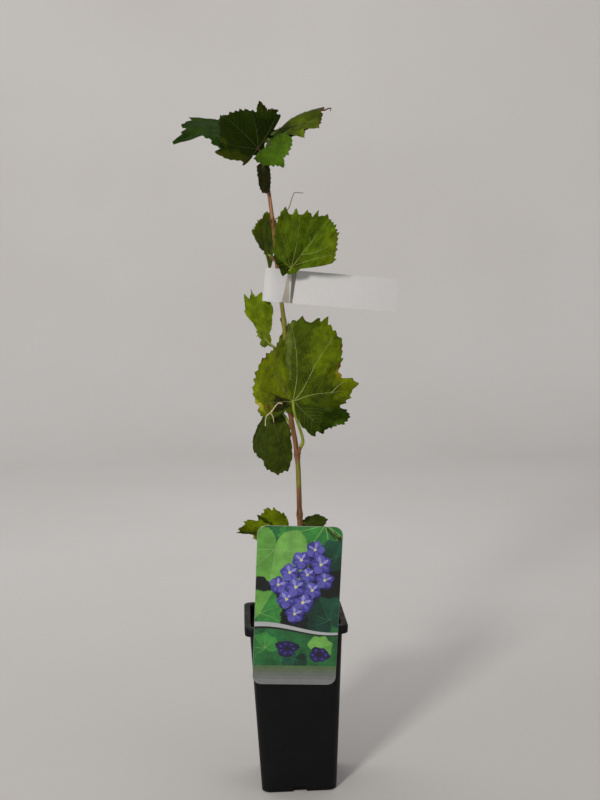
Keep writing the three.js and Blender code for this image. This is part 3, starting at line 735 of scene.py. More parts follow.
def own_veins(leaf):
    """The main veins that a leaf names itself, as flat lines with their widths."""
    veins = []
    for knots in leaf["ribs"]:
        theta, share = np.radians([k[0] for k in knots]), np.array([k[1] for k in knots])
        turns, out = fan(leaf, theta), leaf["size"] * share * blade_reach(theta, leaf)
        flat = np.column_stack([out * np.cos(turns), out * np.sin(turns), 0 * out])
        line = evenly(smooth_line(flat, 10), VEIN_POINTS)[:, :2]
        veins.append((line, leaf["size"] * (OWN_VEIN if veins else MIDDLE_VEIN)))
    return veins


def common_veins(leaf):
    """The usual main veins, one to each lobe that isn't too short, as flat lines with their widths."""
    size, veins = leaf["size"], []
    for bearing in [hand * angle for angle in MAIN_VEINS for hand in ((1, -1) if angle else (1,))]:
        theta = np.array(math.radians(bearing))
        reach = float(blade_reach(theta, leaf))
        if reach < 0.36:
            continue
        length = size * reach * (0.97 if abs(bearing) < 100 else 0.9)
        bow = math.radians(5) * np.sign(bearing)
        turns = float(fan(leaf, theta)) + bow * (0.5 - np.linspace(0, 1, VEIN_POINTS))
        path = np.linspace(0, length, VEIN_POINTS)[:, None] * np.column_stack([np.cos(turns), np.sin(turns)])
        veins.append((path, size * (LOBE_VEIN if bearing else MIDDLE_VEIN)))
    return veins


def side_veins(leaf, path, others):
    """The side veins of one main vein, each up to the edge or to the field of another main vein."""
    size, veins = leaf["size"], []
    length = np.linalg.norm(path[-1] - path[0])
    angle = math.atan2(*(path[-1] - path[0])[::-1])
    for turn, share in enumerate(np.arange(SIDE_FROM, SIDE_TO, SIDE_GAP / length)):
        for hand in (1, -1):
            begin = (share + 0.02 * hand * (turn % 2 - 0.5)) * (len(path) - 1)
            spot = np.array([np.interp(begin, np.arange(len(path)), path[:, axis]) for axis in range(2)])
            trail = [spot]
            heading = angle + hand * math.radians(SIDE_ANGLE)
            for _ in range(SIDE_STEPS):
                heading -= hand * math.radians(SIDE_TURN)
                spot = spot + SIDE_STEP * size * np.array([math.cos(heading), math.sin(heading)])
                back = math.atan2(spot[1], spot[0]) / leaf["spread"]
                edge = 0.95 * size * float(blade_reach(np.array(back), leaf))
                near = np.hypot(*(path - spot).T).min()
                crossed = any(np.hypot(*(other - spot).T).min() < near for other in others)
                if abs(back) > 2.9 or math.hypot(*spot) > edge or crossed:
                    break
                trail.append(spot)
            if len(trail) > 3:
                veins.append((np.array(trail), size * SIDE_VEIN, size * SIDE_VEIN_TIP, 0))
    return veins


def leaf_veins(leaf):
    """All veins as flat lines, with the widths of both ends and their rank, which is 0 for side veins."""
    mains = own_veins(leaf) or common_veins(leaf)
    veins = []
    for number, (path, width) in enumerate(mains):
        veins.append((path, width, width * 0.25, 1 if number < 4 or not leaf["ribs"] else 0.4))
    for number, (path, _) in enumerate(mains if leaf["size"] > 24 else []):
        veins += side_veins(leaf, path, [m[0] for n, m in enumerate(mains) if n != number])
    return veins


def nearest(along, across, veins):
    """The distance from flat points to the closest of the veins."""
    best = np.full(along.shape, 1e9)
    for path, *_ in veins:
        for a, b in zip(path[:-1], path[1:]):
            d = b - a
            t = np.clip(((along - a[0]) * d[0] + (across - a[1]) * d[1]) / (d @ d + 1e-12), 0, 1)
            best = np.minimum(best, np.hypot(along - a[0] - t * d[0], across - a[1] - t * d[1]))
    return best


def toothed_rim(leaf, rng):
    """The angles of the edge's points, four to a tooth, and their reach beside that of the plain outline."""
    size = leaf["size"]
    dense = np.linspace(-math.pi, math.pi, 2401)
    turned, outer = fan(leaf, dense), size * blade_reach(dense, leaf)
    steps = np.hypot(np.diff(outer * np.cos(turned)), np.diff(outer * np.sin(turned)))
    walked = np.concatenate([[0], np.cumsum(steps)])
    teeth = round(walked[-1] / (TOOTH_GAP[0] + TOOTH_GAP[1] * size))
    number = np.arange(teeth * 4)
    pace = number + np.repeat(rng.uniform(-0.7, 0.7, teeth), 4) * np.tile(TOOTH_SHIFTS, teeth)
    theta = np.interp(pace[pace >= 0] / len(number) * walked[-1], walked, dense)
    theta = np.concatenate([[-math.pi] * (len(number) - len(theta)), theta])
    theta[0] = -math.pi
    profile = TOOTH_PROFILE[np.where(theta > 0, number % 4, (4 - number) % 4)]
    strength = rng.uniform(0.3, 1.0, teeth + 1)[((number + 2) // 4)]
    reach = np.interp(theta, dense, outer)
    slope = np.gradient(reach, theta) / reach
    fade = np.clip((2.8 - np.abs(theta)) / 0.3, 0, 1) * np.clip(1.5 - np.abs(slope) / 3, 0, 1)
    depth = leaf["tooth"] * (TOOTH_DEPTH[0] + TOOTH_DEPTH[1] * size) / size
    rim = 1 + depth * (profile * strength - 0.45) * fade / np.clip(reach / size, 0.4, 2)
    for bearing, width, bite in leaf["cuts"]:
        rim = rim * (1 - bite * np.exp(-(((np.degrees(theta) - bearing) / width) ** 2)))
    return theta, rim


def flat_grid(leaf, share, theta, rim):
    """The flat places of the blade's rings, where teeth fade inwards and cuts reach further in."""
    settle = np.clip((share - 0.8) / 0.2, 0, 1) ** 2
    widen = 1 + (rim[None] - 1) * settle
    for bearing, width, bite in leaf["cuts"]:
        dip = bite * np.exp(-(((np.degrees(theta) - bearing) / (width * 1.6)) ** 2))
        widen = widen * (1 - 0.6 * dip * share**3 * (1 - settle))
    reach = leaf["size"] * share * blade_reach(theta, leaf) * widen
    angle = fan(leaf, theta)
    return reach * np.cos(angle), reach * np.sin(angle)


def blade_relief(leaf, share, theta, along, across, veins, rng):
    """The lift of the middle surface: fields swollen between the veins, soft waves and a ruffled rim."""
    size = leaf["size"]
    swell = np.zeros(share.shape)
    for chosen, (height, reach) in ((veins, VEIN_SWELL), ([v for v in veins if v[3]], MAIN_SWELL)):
        away = nearest(along, across, chosen)
        swell += height * size * (1 - np.exp(-((away / (reach * size)) ** 2)))
    waves = rng.uniform(0, 6.28, 6)
    for n in range(3):
        pace = (2 + 1.7 * n) * 2 * math.pi / size / 1.6
        wave = np.sin(pace * along + waves[n]) * np.sin(pace * across + waves[n + 3])
        swell += 0.008 * size / (n + 1) * wave
    ripple = 0.03 * size * share**2 * np.sin(5 * theta + leaf["place"][2])
    for (height, fade, count), wave in zip(RIM_WAVES, waves):
        ripple += height * size * share**fade * np.sin(count * theta + wave)
    outside_stalk = np.clip(share / 0.12, 0, 1)
    return ripple + (-1 if leaf["flip"] else 1) * (swell - 0.012 * size) * outside_stalk


def blade_tones(leaf, shares, theta, rng):
    """The tone of each face, with patches whose edges wander and are mixed in quarters."""
    share = np.broadcast_to((shares[:-1] + shares[1:])[:, None] / 2, (len(shares) - 1, len(theta)))
    degrees = np.broadcast_to(np.degrees(theta)[None], share.shape)
    tones = np.full(share.shape, leaf["tone"], dtype="<U24")
    for first, last, inner, outer, tone in leaf["patches"]:
        wander = np.sin(degrees / 7.3 + first) + np.sin(share * 21 + last) + np.sin(degrees / 2.9 + inner)
        turned, out = degrees + WANDER_ANGLE * wander, share + WANDER_SHARE * wander
        soft = 9 if last - first > 24 else 3
        deep = np.minimum(turned - first, last - turned) / soft
        if inner > 0:
            deep = np.minimum(deep, (out - inner) / SHARE_PER_DEGREE / soft)
        if outer < 1:
            deep = np.minimum(deep, (outer - out) / SHARE_PER_DEGREE / soft)
        quarters = np.clip(np.floor(4 * deep + 0.8 * rng.normal(0, 1, share.shape)), 0, 4).astype(int)
        quarters = np.where(deep < -0.2, 0, np.where(deep > 1.2, 4, quarters))
        bases = np.array([t.split(".")[0] for t in tones.reshape(-1)]).reshape(tones.shape)
        mixed = np.char.add(np.char.add(bases, "." + tone + "."), quarters.astype(str))
        tones = np.where(quarters == 0, tones, np.where(quarters == 4, tone, mixed))
    return tones


def skin(grid, outward):
    """Points and faces of one side of the blade, its middle closed by a fan of triangles."""
    rows, count = grid.shape[:2]
    column = np.arange(count)
    middle = np.stack([0 * column, 1 + (column + 1) % count, 1 + column], 1)
    faces = middle.tolist() + grid_faces(rows - 1, count, 1).tolist()
    points = np.vstack([grid[0, :1], grid[1:].reshape(-1, 3)])
    return points, faces if outward else [f[::-1] for f in faces]


def add_skins(piece, leaf, upper, under, tones):
    """Both sides of the blade, joined round its edge."""
    top_points, top_faces = skin(upper, not leaf["flip"])
    low_points, low_faces = skin(under, leaf["flip"])
    offset, (rows, count) = len(top_points), tones.shape
    here = 1 + (rows - 1) * count + np.arange(count)
    following = 1 + (rows - 1) * count + (np.arange(count) + 1) % count
    edge = np.stack([here, following, offset + following, offset + here], 1)
    if leaf["flip"]:
        edge = edge[:, ::-1]
    faces = top_faces + [[n + offset for n in f] for f in low_faces] + edge.tolist()
    upper_kinds, under_kinds = np.char.add("upper_", tones), np.char.add("under_", tones)
    kinds = np.concatenate([upper_kinds.reshape(-1), under_kinds.reshape(-1), upper_kinds[-1]])
    piece.add(np.vstack([top_points, low_points]), faces, kinds.tolist())


def on_grid(grid, shares, theta, back, out):
    """The places on one side at angles and shares, between the grid's own points."""
    turned = np.where(theta < 0, theta + 2 * math.pi, theta)
    order, count = np.argsort(turned), len(theta)
    turns, back = turned[order], np.mod(back, 2 * math.pi)
    column = np.clip(np.searchsorted(turns, back, side="right") - 1, 0, count - 1)
    start = turns[column]
    end = np.where(column + 1 < count, turns[(column + 1) % count], 2 * math.pi)
    s = ((back - start) / (end - start))[:, None]
    row = np.clip(np.searchsorted(shares, out, side="right") - 1, 0, len(shares) - 2)
    t = ((out - shares[row]) / (shares[row + 1] - shares[row]))[:, None]
    here, there = order[column], order[(column + 1) % count]
    near = grid[row, here] * (1 - s) + grid[row, there] * s
    far = grid[row + 1, here] * (1 - s) + grid[row + 1, there] * s
    return near * (1 - t) + far * t


def raise_veins(piece, leaf, shares, theta, upper, under, veins):
    """The veins as low ridges, faint on the upper side and stronger on the under side."""
    for path, wide, narrow, rank in veins:
        back = np.arctan2(path[:, 1], path[:, 0]) / leaf["spread"]
        out = np.clip(np.hypot(*path.T) / (leaf["size"] * blade_reach(back, leaf)), 0, 0.985)
        widths = np.linspace(wide, narrow, len(path))[:, None]
        kind = "vein_{}_{}".format(leaf["tone"], round(100 * leaf["rib"] * (rank or 0.2)))
        for grid, other, height in ((upper, under, 0.05), (under, upper, 0.4 if rank else 0.2)):
            line = on_grid(grid, shares, theta, back, out)
            normal = unit(line - on_grid(other, shares, theta, back, out))
            half = unit(np.cross(normal, np.gradient(line, axis=0))) * widths * 0.55
            foot, crest = -0.1 * normal, normal * height * widths / wide
            corners = [half + foot, half * 0.45 + crest, crest - half * 0.45, foot - half]
            loft(piece, list(np.stack([line + corner for corner in corners], 1)), kind)


def blade(piece, leaf, seed):
    """One leaf blade: toothed outline, swollen between its veins, with raised veins on both sides."""
    rng = np.random.default_rng(seed)
    theta, rim = toothed_rim(leaf, rng)
    rings = next(count for length, count in BLADE_RINGS if leaf["size"] > length)
    shares = np.concatenate([np.linspace(0, 0.86, rings - 3) ** 0.9, [0.915, 0.96, 1.0]])
    share, angle = np.meshgrid(shares, theta, indexing="ij")
    along, across = flat_grid(leaf, share, angle, rim)
    veins = leaf_veins(leaf)
    middle = blade_relief(leaf, share, angle, along, across, veins, rng)
    half = (-1 if leaf["flip"] else 1) * BLADE_THICK / 2 * (1 - 0.5 * share)
    upper = blade_place(leaf, along, across, middle + half)
    under = blade_place(leaf, along, across, middle - half)
    add_skins(piece, leaf, upper, under, blade_tones(leaf, shares, theta, rng))
    raise_veins(piece, leaf, shares, theta, upper, under, veins)


def add_stalk(piece, leaf, root, way):
    """A leaf's stalk from its root on the spur, swollen at both ends, to the blade."""
    vein, _, _ = axes_of(leaf)
    place = np.array(leaf["place"], float)
    span = np.linalg.norm(place - root)
    knots = [root - way * 2, root + way * span * leaf["lead"], place - vein * span * 0.22, place + vein * 1.5]
    stalk = evenly(smooth_line(knots, 16), 40)
    share = np.linspace(0, 1, len(stalk))
    radii = leaf["stout"] * (STALK_RADII[0] + (STALK_RADII[1] - STALK_RADII[0]) * share)
    for end, extra, over in STALK_SWELLINGS:
        radii += extra * np.exp(-(((share - end) / over) ** 2))
    tube(piece, stalk, radii, leaf["stalk"], 12)


def build_mass(mass, materials, seed):
    """One mass: its spur out of the stem with a stalk for each leaf, and the blades on those stalks."""
    stalks, blades = Piece(), Piece()
    foot, way = stem_at(mass["height"]), direction(mass["bearing"], mass["rise"])
    spur = way * mass["length"]
    line = foot + spur * np.linspace(0, 1, 12)[:, None]
    kind = "bark_green" if mass["height"] > 500 else "bark_red"
    tube(stalks, line, np.linspace(*SPUR_RADII, 12), kind, 14)
    for number, one in enumerate(mass["leaves"]):
        add_stalk(stalks, one, foot + spur * one["start"], way)
        blade(blades, one, seed + number)
    name = mass["name"].replace("_leaves", "")
    finish(stalks.build(name + "_stalks", materials), mass["name"])
    finish(blades.build(name + "_foliage", materials), mass["name"])


# Pot and soil

# Lumps of the soil's surface: how far apart and how high
SOIL_LUMPS = ((26, 0.7), (11, 0.6), (5.2, 0.5), (2.6, 0.35))
SOIL_RINGS, SOIL_FLAKES, FLAKE_REACH = 44, 420, 38


def pot_width(height):
    """The pot's outer width at a height."""
    return POT_FOOT + (POT_MOUTH - POT_FOOT) * height / POT_HEIGHT


def corner_arcs(width, length, corner, per_corner):
    """The four round corners of a flat rectangle about its middle, anticlockwise."""
    arcs = []
    for quarter, signs in enumerate(((1, 1), (-1, 1), (-1, -1), (1, -1))):
        middle = np.array(signs) * (width / 2 - corner, length / 2 - corner)
        turn = np.linspace(quarter, quarter + 1, per_corner) * math.pi / 2
        arcs.append(middle + corner * np.column_stack([np.cos(turn), np.sin(turn)]))
    return arcs


def square_ring(width, corner, height, per_corner=10, per_side=6):
    """A level square ring with round corners."""
    arcs = corner_arcs(width, width, corner, per_corner)
    steps = np.linspace(0, 1, per_side + 2)[1:-1, None]
    sides = [arc[-1] + (following[0] - arc[-1]) * steps for arc, following in zip(arcs, arcs[1:] + arcs[:1])]
    return at_level(np.vstack([part for pair in zip(arcs, sides) for part in pair]), height)


def slot_cutter():
    """The four drain slots as one solid that reaches below the foot, with round upper corners."""
    cutter = Piece()
    half, top = SLOT_WIDTH / 2 - SLOT_CORNER, SLOT_HEIGHT - SLOT_CORNER
    outline = [(-SLOT_WIDTH / 2, -2)]
    for a in np.linspace(math.pi, 0, 13):
        middle = half * math.copysign(1, math.cos(a))
        outline.append((middle + SLOT_CORNER * math.cos(a), top + SLOT_CORNER * math.sin(a)))
    outline.append((SLOT_WIDTH / 2, -2))
    for turn in np.arange(4) * math.pi / 2:
        across = np.array([math.cos(turn), math.sin(turn)])
        out = np.array([math.sin(turn), -math.cos(turn)])
        depths = ((POT_FOOT - SLOT_DEPTH) / 2, (POT_FOOT + SLOT_DEPTH) / 2)
        loft(cutter, [np.array([(*(across * u + out * d), v) for u, v in outline]) for d in depths], "none")
    knife = cutter.build("slot_cutter", {"none": None})
    knife.data.materials.clear()
    return knife


def cut_slots(pot):
    """Cuts the drain slots out of the pot's foot with one Boolean."""
    knife = slot_cutter()
    for made in (pot, knife):
        shape = bmesh.new()
        shape.from_mesh(made.data)
        bmesh.ops.recalc_face_normals(shape, faces=shape.faces)
        shape.to_mesh(made.data)
        shape.free()
    boolean = pot.modifiers.new("slots", "BOOLEAN")
    boolean.operation = "DIFFERENCE"
    boolean.solver = "EXACT"
    boolean.object = knife
    cut = bpy.data.meshes.new_from_object(pot.evaluated_get(bpy.context.evaluated_depsgraph_get()))
    pot.modifiers.clear()
    old, pot.data = pot.data, cut
    bpy.data.meshes.remove(old)
    bpy.data.objects.remove(knife)
    pot.data.set_sharp_from_angle(angle=math.radians(40))


def pot_profile():
    """Width, corner and height of the pot's rings, up its outside, over its rim and down its inside."""

    def corner_at(height):
        return POT_CORNER * (0.9 + 0.1 * height / POT_HEIGHT)

    inside = 2 * POT_WALL
    mouth = pot_width(POT_HEIGHT) - inside
    rows = [(POT_FOOT - 2.0, POT_CORNER - 1.2, 0.0), (POT_FOOT - 0.8, POT_CORNER - 0.4, 0.25)]
    rows += [(pot_width(h), corner_at(h), h) for h in (1.0, 6, 12, 20, 40, 70, 100, 125, 142)]
    rows += [(pot_width(RIM_LOW - 0.6), corner_at(RIM_LOW), RIM_LOW - 0.6)]
    for narrower, sharper, height in (
        (2.4, 0, RIM_LOW + 0.1), (1.2, 0, RIM_LOW + 0.5), (0.8, 0, RIM_LOW + 1.4), (0.3, 0, POT_HEIGHT - 2.4),
        (0.4, 0, POT_HEIGHT - 1.1), (1.2, 0.4, POT_HEIGHT - 0.3), (2.6, 1, POT_HEIGHT),
    ):
        rows.append((RIM_WIDTH - narrower, RIM_CORNER - sharper, height))
    rows += [(mouth + 1.6, INNER_CORNER, POT_HEIGHT), (mouth + 0.4, INNER_CORNER, POT_HEIGHT - 0.4)]
    rows += [(pot_width(h) - inside, corner_at(h) - POT_WALL, h) for h in (158, 152, 140, 90, 30, POT_FLOOR)]
    return rows


def build_pot():
    """The black pot with its rim, wall, floor and drain slots."""
    shader = Shader("pot_black_plastic", Roughness=0.5, Specular_IOR_Level=0.16)
    dust = shader.noise(45, 6, 0.62)
    blacks = [(0.3, srgb(9, 9, 11)), (0.62, srgb(13, 13, 15)), (0.8, srgb(22, 21, 22))]
    shader.colour(shader.ramp(dust, blacks))
    shader.rough(shader.spread(shader.noise(120, 4), 0.4, 0.56))
    shader.bump(shader.noise(1.0, 3, stretch=(900, 900, 260)), 0.05, 0.5)
    shader.bump(shader.noise(18, 2), 0.5, 0.25)
    piece = Piece()
    loft(piece, [square_ring(*row) for row in pot_profile()], "pot")
    pot = piece.build("pot_shell", {"pot": shader.material}, 40)
    cut_slots(pot)
    finish(pot, "pot")


def soil_materials():
    """Crumbly peat, and the flakes of bark in it."""
    peat = Shader("peat", Roughness=0.95, Specular_IOR_Level=0.2)
    crumbs = peat.noise(260, 8, 0.7)
    browns = [(0.3, srgb(26, 17, 12)), (0.55, srgb(52, 36, 26)), (0.75, srgb(86, 62, 44))]
    peat.colour(peat.ramp(crumbs, browns))
    peat.bump(peat.noise(420, 6, 0.7), 1.2, 0.9)
    flake = Shader("bark_flakes", Roughness=0.85, Specular_IOR_Level=0.25)
    flake.colour(flake.ramp(flake.noise(60, 3), [(0.35, srgb(60, 38, 26)), (0.65, srgb(118, 84, 56))]))
    flake.bump(flake.noise(700, 4), 0.4, 0.7)
    return {"peat": peat.material, "flake": flake.material}


def add_flake(piece, rng):
    """One flake of bark or crumb of peat on the soil, as a jagged six-sided slab, but none in its corners."""
    x, y = rng.uniform(-FLAKE_REACH, FLAKE_REACH, 2)
    long, wide, thick = rng.uniform(1.6, 5.5), rng.uniform(0.9, 2.4), rng.uniform(0.4, 1.2)
    if min(abs(x), abs(y)) > FLAKE_REACH - 1:
        return
    corners = []
    for side in (-1, 1):
        for turn in np.linspace(0, 2 * math.pi, 6, endpoint=False):
            jag = rng.uniform(0.7, 1.1) / 2
            corners.append((math.cos(turn) * long * jag, math.sin(turn) * wide * jag, side * thick / 2))
    turn = Matrix.Rotation(rng.uniform(0, 6.28), 3, "Z") @ Matrix.Rotation(rng.uniform(-0.5, 0.5), 3, "X")
    corners = np.array(corners) @ np.array(turn).T + (x, y, SOIL_TOP + rng.uniform(-0.3, 0.9))
    loft(piece, [corners[:6], corners[6:]], "flake" if rng.uniform() < 0.6 else "peat")


def build_soil():
    """The potting soil, down to the slots, with a lumpy top and flakes of bark."""
    piece = Piece()
    rng = np.random.default_rng(5)
    gap = 2 * (POT_WALL + CLEARANCE)
    low, top = SLOT_HEIGHT + CLEARANCE, pot_width(SOIL_TOP) - gap
    sides = [(pot_width(low) - gap - 2, 7, low), (pot_width(low + 1) - gap, INNER_CORNER, low + 1)]
    sides += [(pot_width(140) - gap, INNER_CORNER, 140), (top, INNER_CORNER, SOIL_TOP - 1.5)]
    rings = [square_ring(*row, 8, 24) for row in sides]
    for share in np.linspace(0.985, 0.03, SOIL_RINGS):
        ring = square_ring(top * share, INNER_CORNER * share, SOIL_TOP, 8, 24)
        x, y = ring[:, 0], ring[:, 1]
        for n, (reach, height) in enumerate(SOIL_LUMPS):
            lumps = np.sin(x / reach * 2.1 + n * 1.7 + y * 0.06) * np.cos(y / reach * 2.3 - n + x * 0.05)
            ring[:, 2] += height * lumps
        ring[:, 2] += rng.normal(0, 0.18, len(ring)) + 1.2 * (1 - share) - 0.8
        rings.append(ring)
    loft(piece, rings, "peat")
    for _ in range(SOIL_FLAKES):
        add_flake(piece, rng)
    finish(piece.build("peat_fill", soil_materials(), 50), "soil")


# Plant card

# The card's inks: name, colour and how much the colour varies
CARD_INKS = {
    "board": ("card_board", (150, 158, 152), 0.03),
    "ground": ("card_ground_green", (34, 100, 52), 0.35),
    "light": ("card_leaf_light", (96, 158, 66), 0.22),
    "lighter": ("card_leaf_lighter", (112, 172, 80), 0.2),
    "fresh": ("card_leaf_fresh", (54, 132, 58), 0.28),
    "fresher": ("card_leaf_fresher", (40, 112, 52), 0.28),
    "teal": ("card_leaf_teal", (20, 72, 54), 0.35),
    "teal_low": ("card_leaf_deep_teal", (14, 54, 42), 0.35),
    "shadow": ("card_shadow", (10, 20, 19), 0.45),
    "vein": ("card_leaf_vein", (126, 178, 96), 0.1),
    "vein_dim": ("card_leaf_vein_dim", (44, 104, 66), 0.15),
    "petal_dark": ("card_petal_dark", (36, 32, 92), 0.2),
    "petal": ("card_petal", (66, 62, 152), 0.2),
    "petal_light": ("card_petal_light", (92, 90, 180), 0.2),
    "petal_shine": ("card_petal_shine", (142, 142, 212), 0.2),
    "plum": ("card_plum", (28, 22, 50), 0.3),
    "pollen": ("card_pollen", (204, 206, 150), 0.1),
    "band": ("card_band", (176, 180, 184), 0.06),
    "line": ("card_line", (24, 28, 28), 0.1),
    "foot_1": ("card_foot_1", (84, 110, 72), 0.1),
    "foot_2": ("card_foot_2", (96, 108, 90), 0.08),
    "foot_3": ("card_foot_3", (104, 110, 104), 0.06),
    "foot_4": ("card_foot_4", (112, 116, 116), 0.05),
    "foot_5": ("card_foot_5", (122, 126, 128), 0.05),
}
# Middles of the flowers, and of the two dark bunches with their number of small flowers
FLOWERS = [
    (14, 132), (2, 122), (20, 118), (-8, 110), (8, 108), (24, 103),
    (-18, 98), (-2, 96), (13, 93), (-10, 84), (5, 81), (-2, 70),
]
BUNCHES = ((-8, 36, 7), (22, 30, 6))
CARD_MIDDLE = np.array([0, CARD_LENGTH / 2])
# The picture's layers from the lower part of the card up
BAND_LAYER, BUNCH_LAYER, FOOT_LAYER = 36, 41, 45


def card_place(points):
    """Card places, (across, up, out to the front), as places in the plant's frame."""
    points = np.asarray(points, float)
    turn, lean = math.radians(CARD_TURN), math.radians(CARD_LEAN)
    x = points[..., 0] * math.cos(turn) + points[..., 1] * math.sin(turn)
    up = -points[..., 0] * math.sin(turn) + points[..., 1] * math.cos(turn)
    out = points[..., 2]
    y = -up * math.sin(lean) - out * math.cos(lean)
    z = up * math.cos(lean) - out * math.sin(lean)
    shift = (CARD_RIGHT, GAP_AT_RIM + (RIM_LOW - CARD_FOOT) * math.tan(lean), CARD_FOOT)
    return np.stack([x, y, z], -1) + shift


def card_outline():
    """The card's edge with its round corners, as places across and up."""
    return np.vstack(corner_arcs(CARD_WIDTH, CARD_LENGTH, CARD_CORNER, 8)) + CARD_MIDDLE


def within_card(outline, inset=0.2):
    """Keeps a shape within the card's edges and its round corners."""
    half, top = CARD_WIDTH / 2 - inset, CARD_LENGTH - inset
    x, y = np.clip(outline[:, 0], -half, half), np.clip(outline[:, 1], inset, top)
    middle_x = np.clip(x, -half + CARD_CORNER, half - CARD_CORNER)
    middle_y = np.clip(y, inset + CARD_CORNER, top - CARD_CORNER)
    away = np.hypot(x - middle_x, y - middle_y)
    pull = np.minimum(1, CARD_CORNER / np.maximum(away, 1e-9))
    return np.column_stack([middle_x + (x - middle_x) * pull, middle_y + (y - middle_y) * pull])


def printed_leaf(centre, size, heading, half=False):
    """The outline of a plain five-lobed leaf for the card's picture, or of its left half."""
    theta = np.linspace(0 if half else -math.pi, math.pi, 96, endpoint=half)
    reach = size * blade_reach(theta) * (1 + 0.035 * np.where(np.arange(96) % 2, 1, -1))
    turn = theta + math.radians(heading)
    return np.column_stack([centre[0] + reach * np.cos(turn), centre[1] + reach * np.sin(turn)])


def printed_blot(centre, wide, high, seed):
    """A soft-cornered dark shape for the depth between the leaves."""
    a = np.linspace(0, 2 * math.pi, 64, endpoint=False)
    r = 1 + 0.14 * np.sin(3 * a + seed) + 0.08 * np.sin(5 * a + 2 * seed) + 0.03 * np.sin(17 * a)
    return np.column_stack([centre[0] + wide * r * np.cos(a), centre[1] + high * r * np.sin(a)])


def printed_stroke(start, end, wide, bow):
    """A line drawn to a point, such as a vein or a stalk."""
    start, end = np.array(start, float), np.array(end, float)
    t = np.linspace(0, 1, 14)
    side = np.array([start[1] - end[1], end[0] - start[0]]) / np.linalg.norm(end - start)
    line = start + (end - start) * t[:, None] + side * (bow * np.sin(t * math.pi))[:, None]
    half = side * (wide / 2 * (1 - 0.8 * t))[:, None]
    return np.vstack([line + half, (line - half)[::-1]])


def printed_petal(centre, length, wide, heading):
    """One petal, round at its end and narrow at the middle of its flower."""
    t = np.linspace(0, 1, 12)
    half = wide / 2 * np.sin(math.pi * t**1.35) ** 0.8
    along = length * np.concatenate([t, t[::-1][1:-1]])
    across = np.concatenate([half, -half[::-1][1:-1]])
    cos, sin = math.cos(math.radians(heading)), math.sin(math.radians(heading))
    return np.column_stack([centre[0] + along * cos - across * sin, centre[1] + along * sin + across * cos])


def printed_stripe(x, upper, lower):
    """A stripe across the card between an upper and a lower line."""
    return np.vstack([np.column_stack([x, upper]), np.column_stack([x, lower])[::-1]])


class Picture:
    """The card's picture, printed shape by shape, each in a thin layer above the last."""

    def __init__(self):
        self.piece = Piece()

    def ink(self, shape, layer, kind):
        """One flat shape, kept within the card."""
        outline = within_card(np.asarray(shape, float))
        levels = (CARD_THICK - 0.1, CARD_THICK + 0.02 + 0.008 * layer)
        loft(self.piece, [card_place(at_level(outline, level)) for level in levels], kind)

    def leaf(self, centre, size, heading, layer, kind, other):
        """A leaf with its left half in another ink, and five veins."""
        self.ink(printed_leaf(centre, size, heading), layer, kind)
        self.ink(printed_leaf(centre, size, heading, True), layer + 1, other)
        pale = "vein_dim" if "teal" in kind else "vein"
        for bearing, reach in ((0, 0.95), (42, 0.85), (-42, 0.85), (84, 0.75), (-84, 0.75)):
            turn = math.radians(heading + bearing)
            tip = (centre[0] + size * reach * math.cos(turn), centre[1] + size * reach * math.sin(turn))
            self.ink(printed_stroke(centre, tip, 0.014 * size + 0.2, 0.03 * size), layer + 2, pale)

    def flower(self, centre, size, heading, layer):
        """A violet flower of five petals with its shadow."""
        shadow = (centre[0] + 0.8, centre[1] - 1.2)
        self.ink(printed_blot(shadow, size * 0.86, size * 0.86, heading), layer, "petal_dark")
        for n in range(5):
            turn = heading + 72 * n
            kind = ("petal", "petal_light")[(n + int(heading)) % 2]
            self.ink(printed_petal(centre, size, size * 0.86, turn), layer + 1 + n % 2, kind)
            shine = "petal_shine" if n < 2 else "petal_light"
            self.ink(printed_petal(centre, size * 0.8, size * 0.3, turn + 6), layer + 3, shine)
        self.ink(printed_blot(centre, size * 0.15, size * 0.15, 1), layer + 4, "pollen")

    def bunch(self, x, y, count):
        """A ring of small dark flowers."""
        for n, turn in enumerate(np.arange(count) * 2 * math.pi / count):
            centre = (x + 6.2 * math.cos(turn), y + 4.8 * math.sin(turn))
            for m in range(5):
                petal = printed_petal(centre, 3.2, 2.4, 72 * m + 40 * n)
                self.ink(petal, BUNCH_LAYER + 1 + m % 2, "petal_dark")
            self.ink(printed_blot(centre, 0.6, 0.6, 0), BUNCH_LAYER + 3, "petal_light")


def card_materials():
    """The card's inks under a thin gloss."""
    made = {}
    for kind, (name, colour, vary) in CARD_INKS.items():
        shader = Shader(name, Roughness=0.3, Specular_IOR_Level=0.4, Coat_Weight=0.2, Coat_Roughness=0.15)
        tones, colour = shader.noise(90, 5, 0.6), srgb(*colour)
        shader.colour(shader.ramp(tones, [(0.35, shade(colour, 1 - vary)), (0.65, shade(colour, 1 + vary))]))
        shader.rough(shader.spread(shader.noise(200, 2), 0.26, 0.36))
        made[kind] = shader.material
    return made


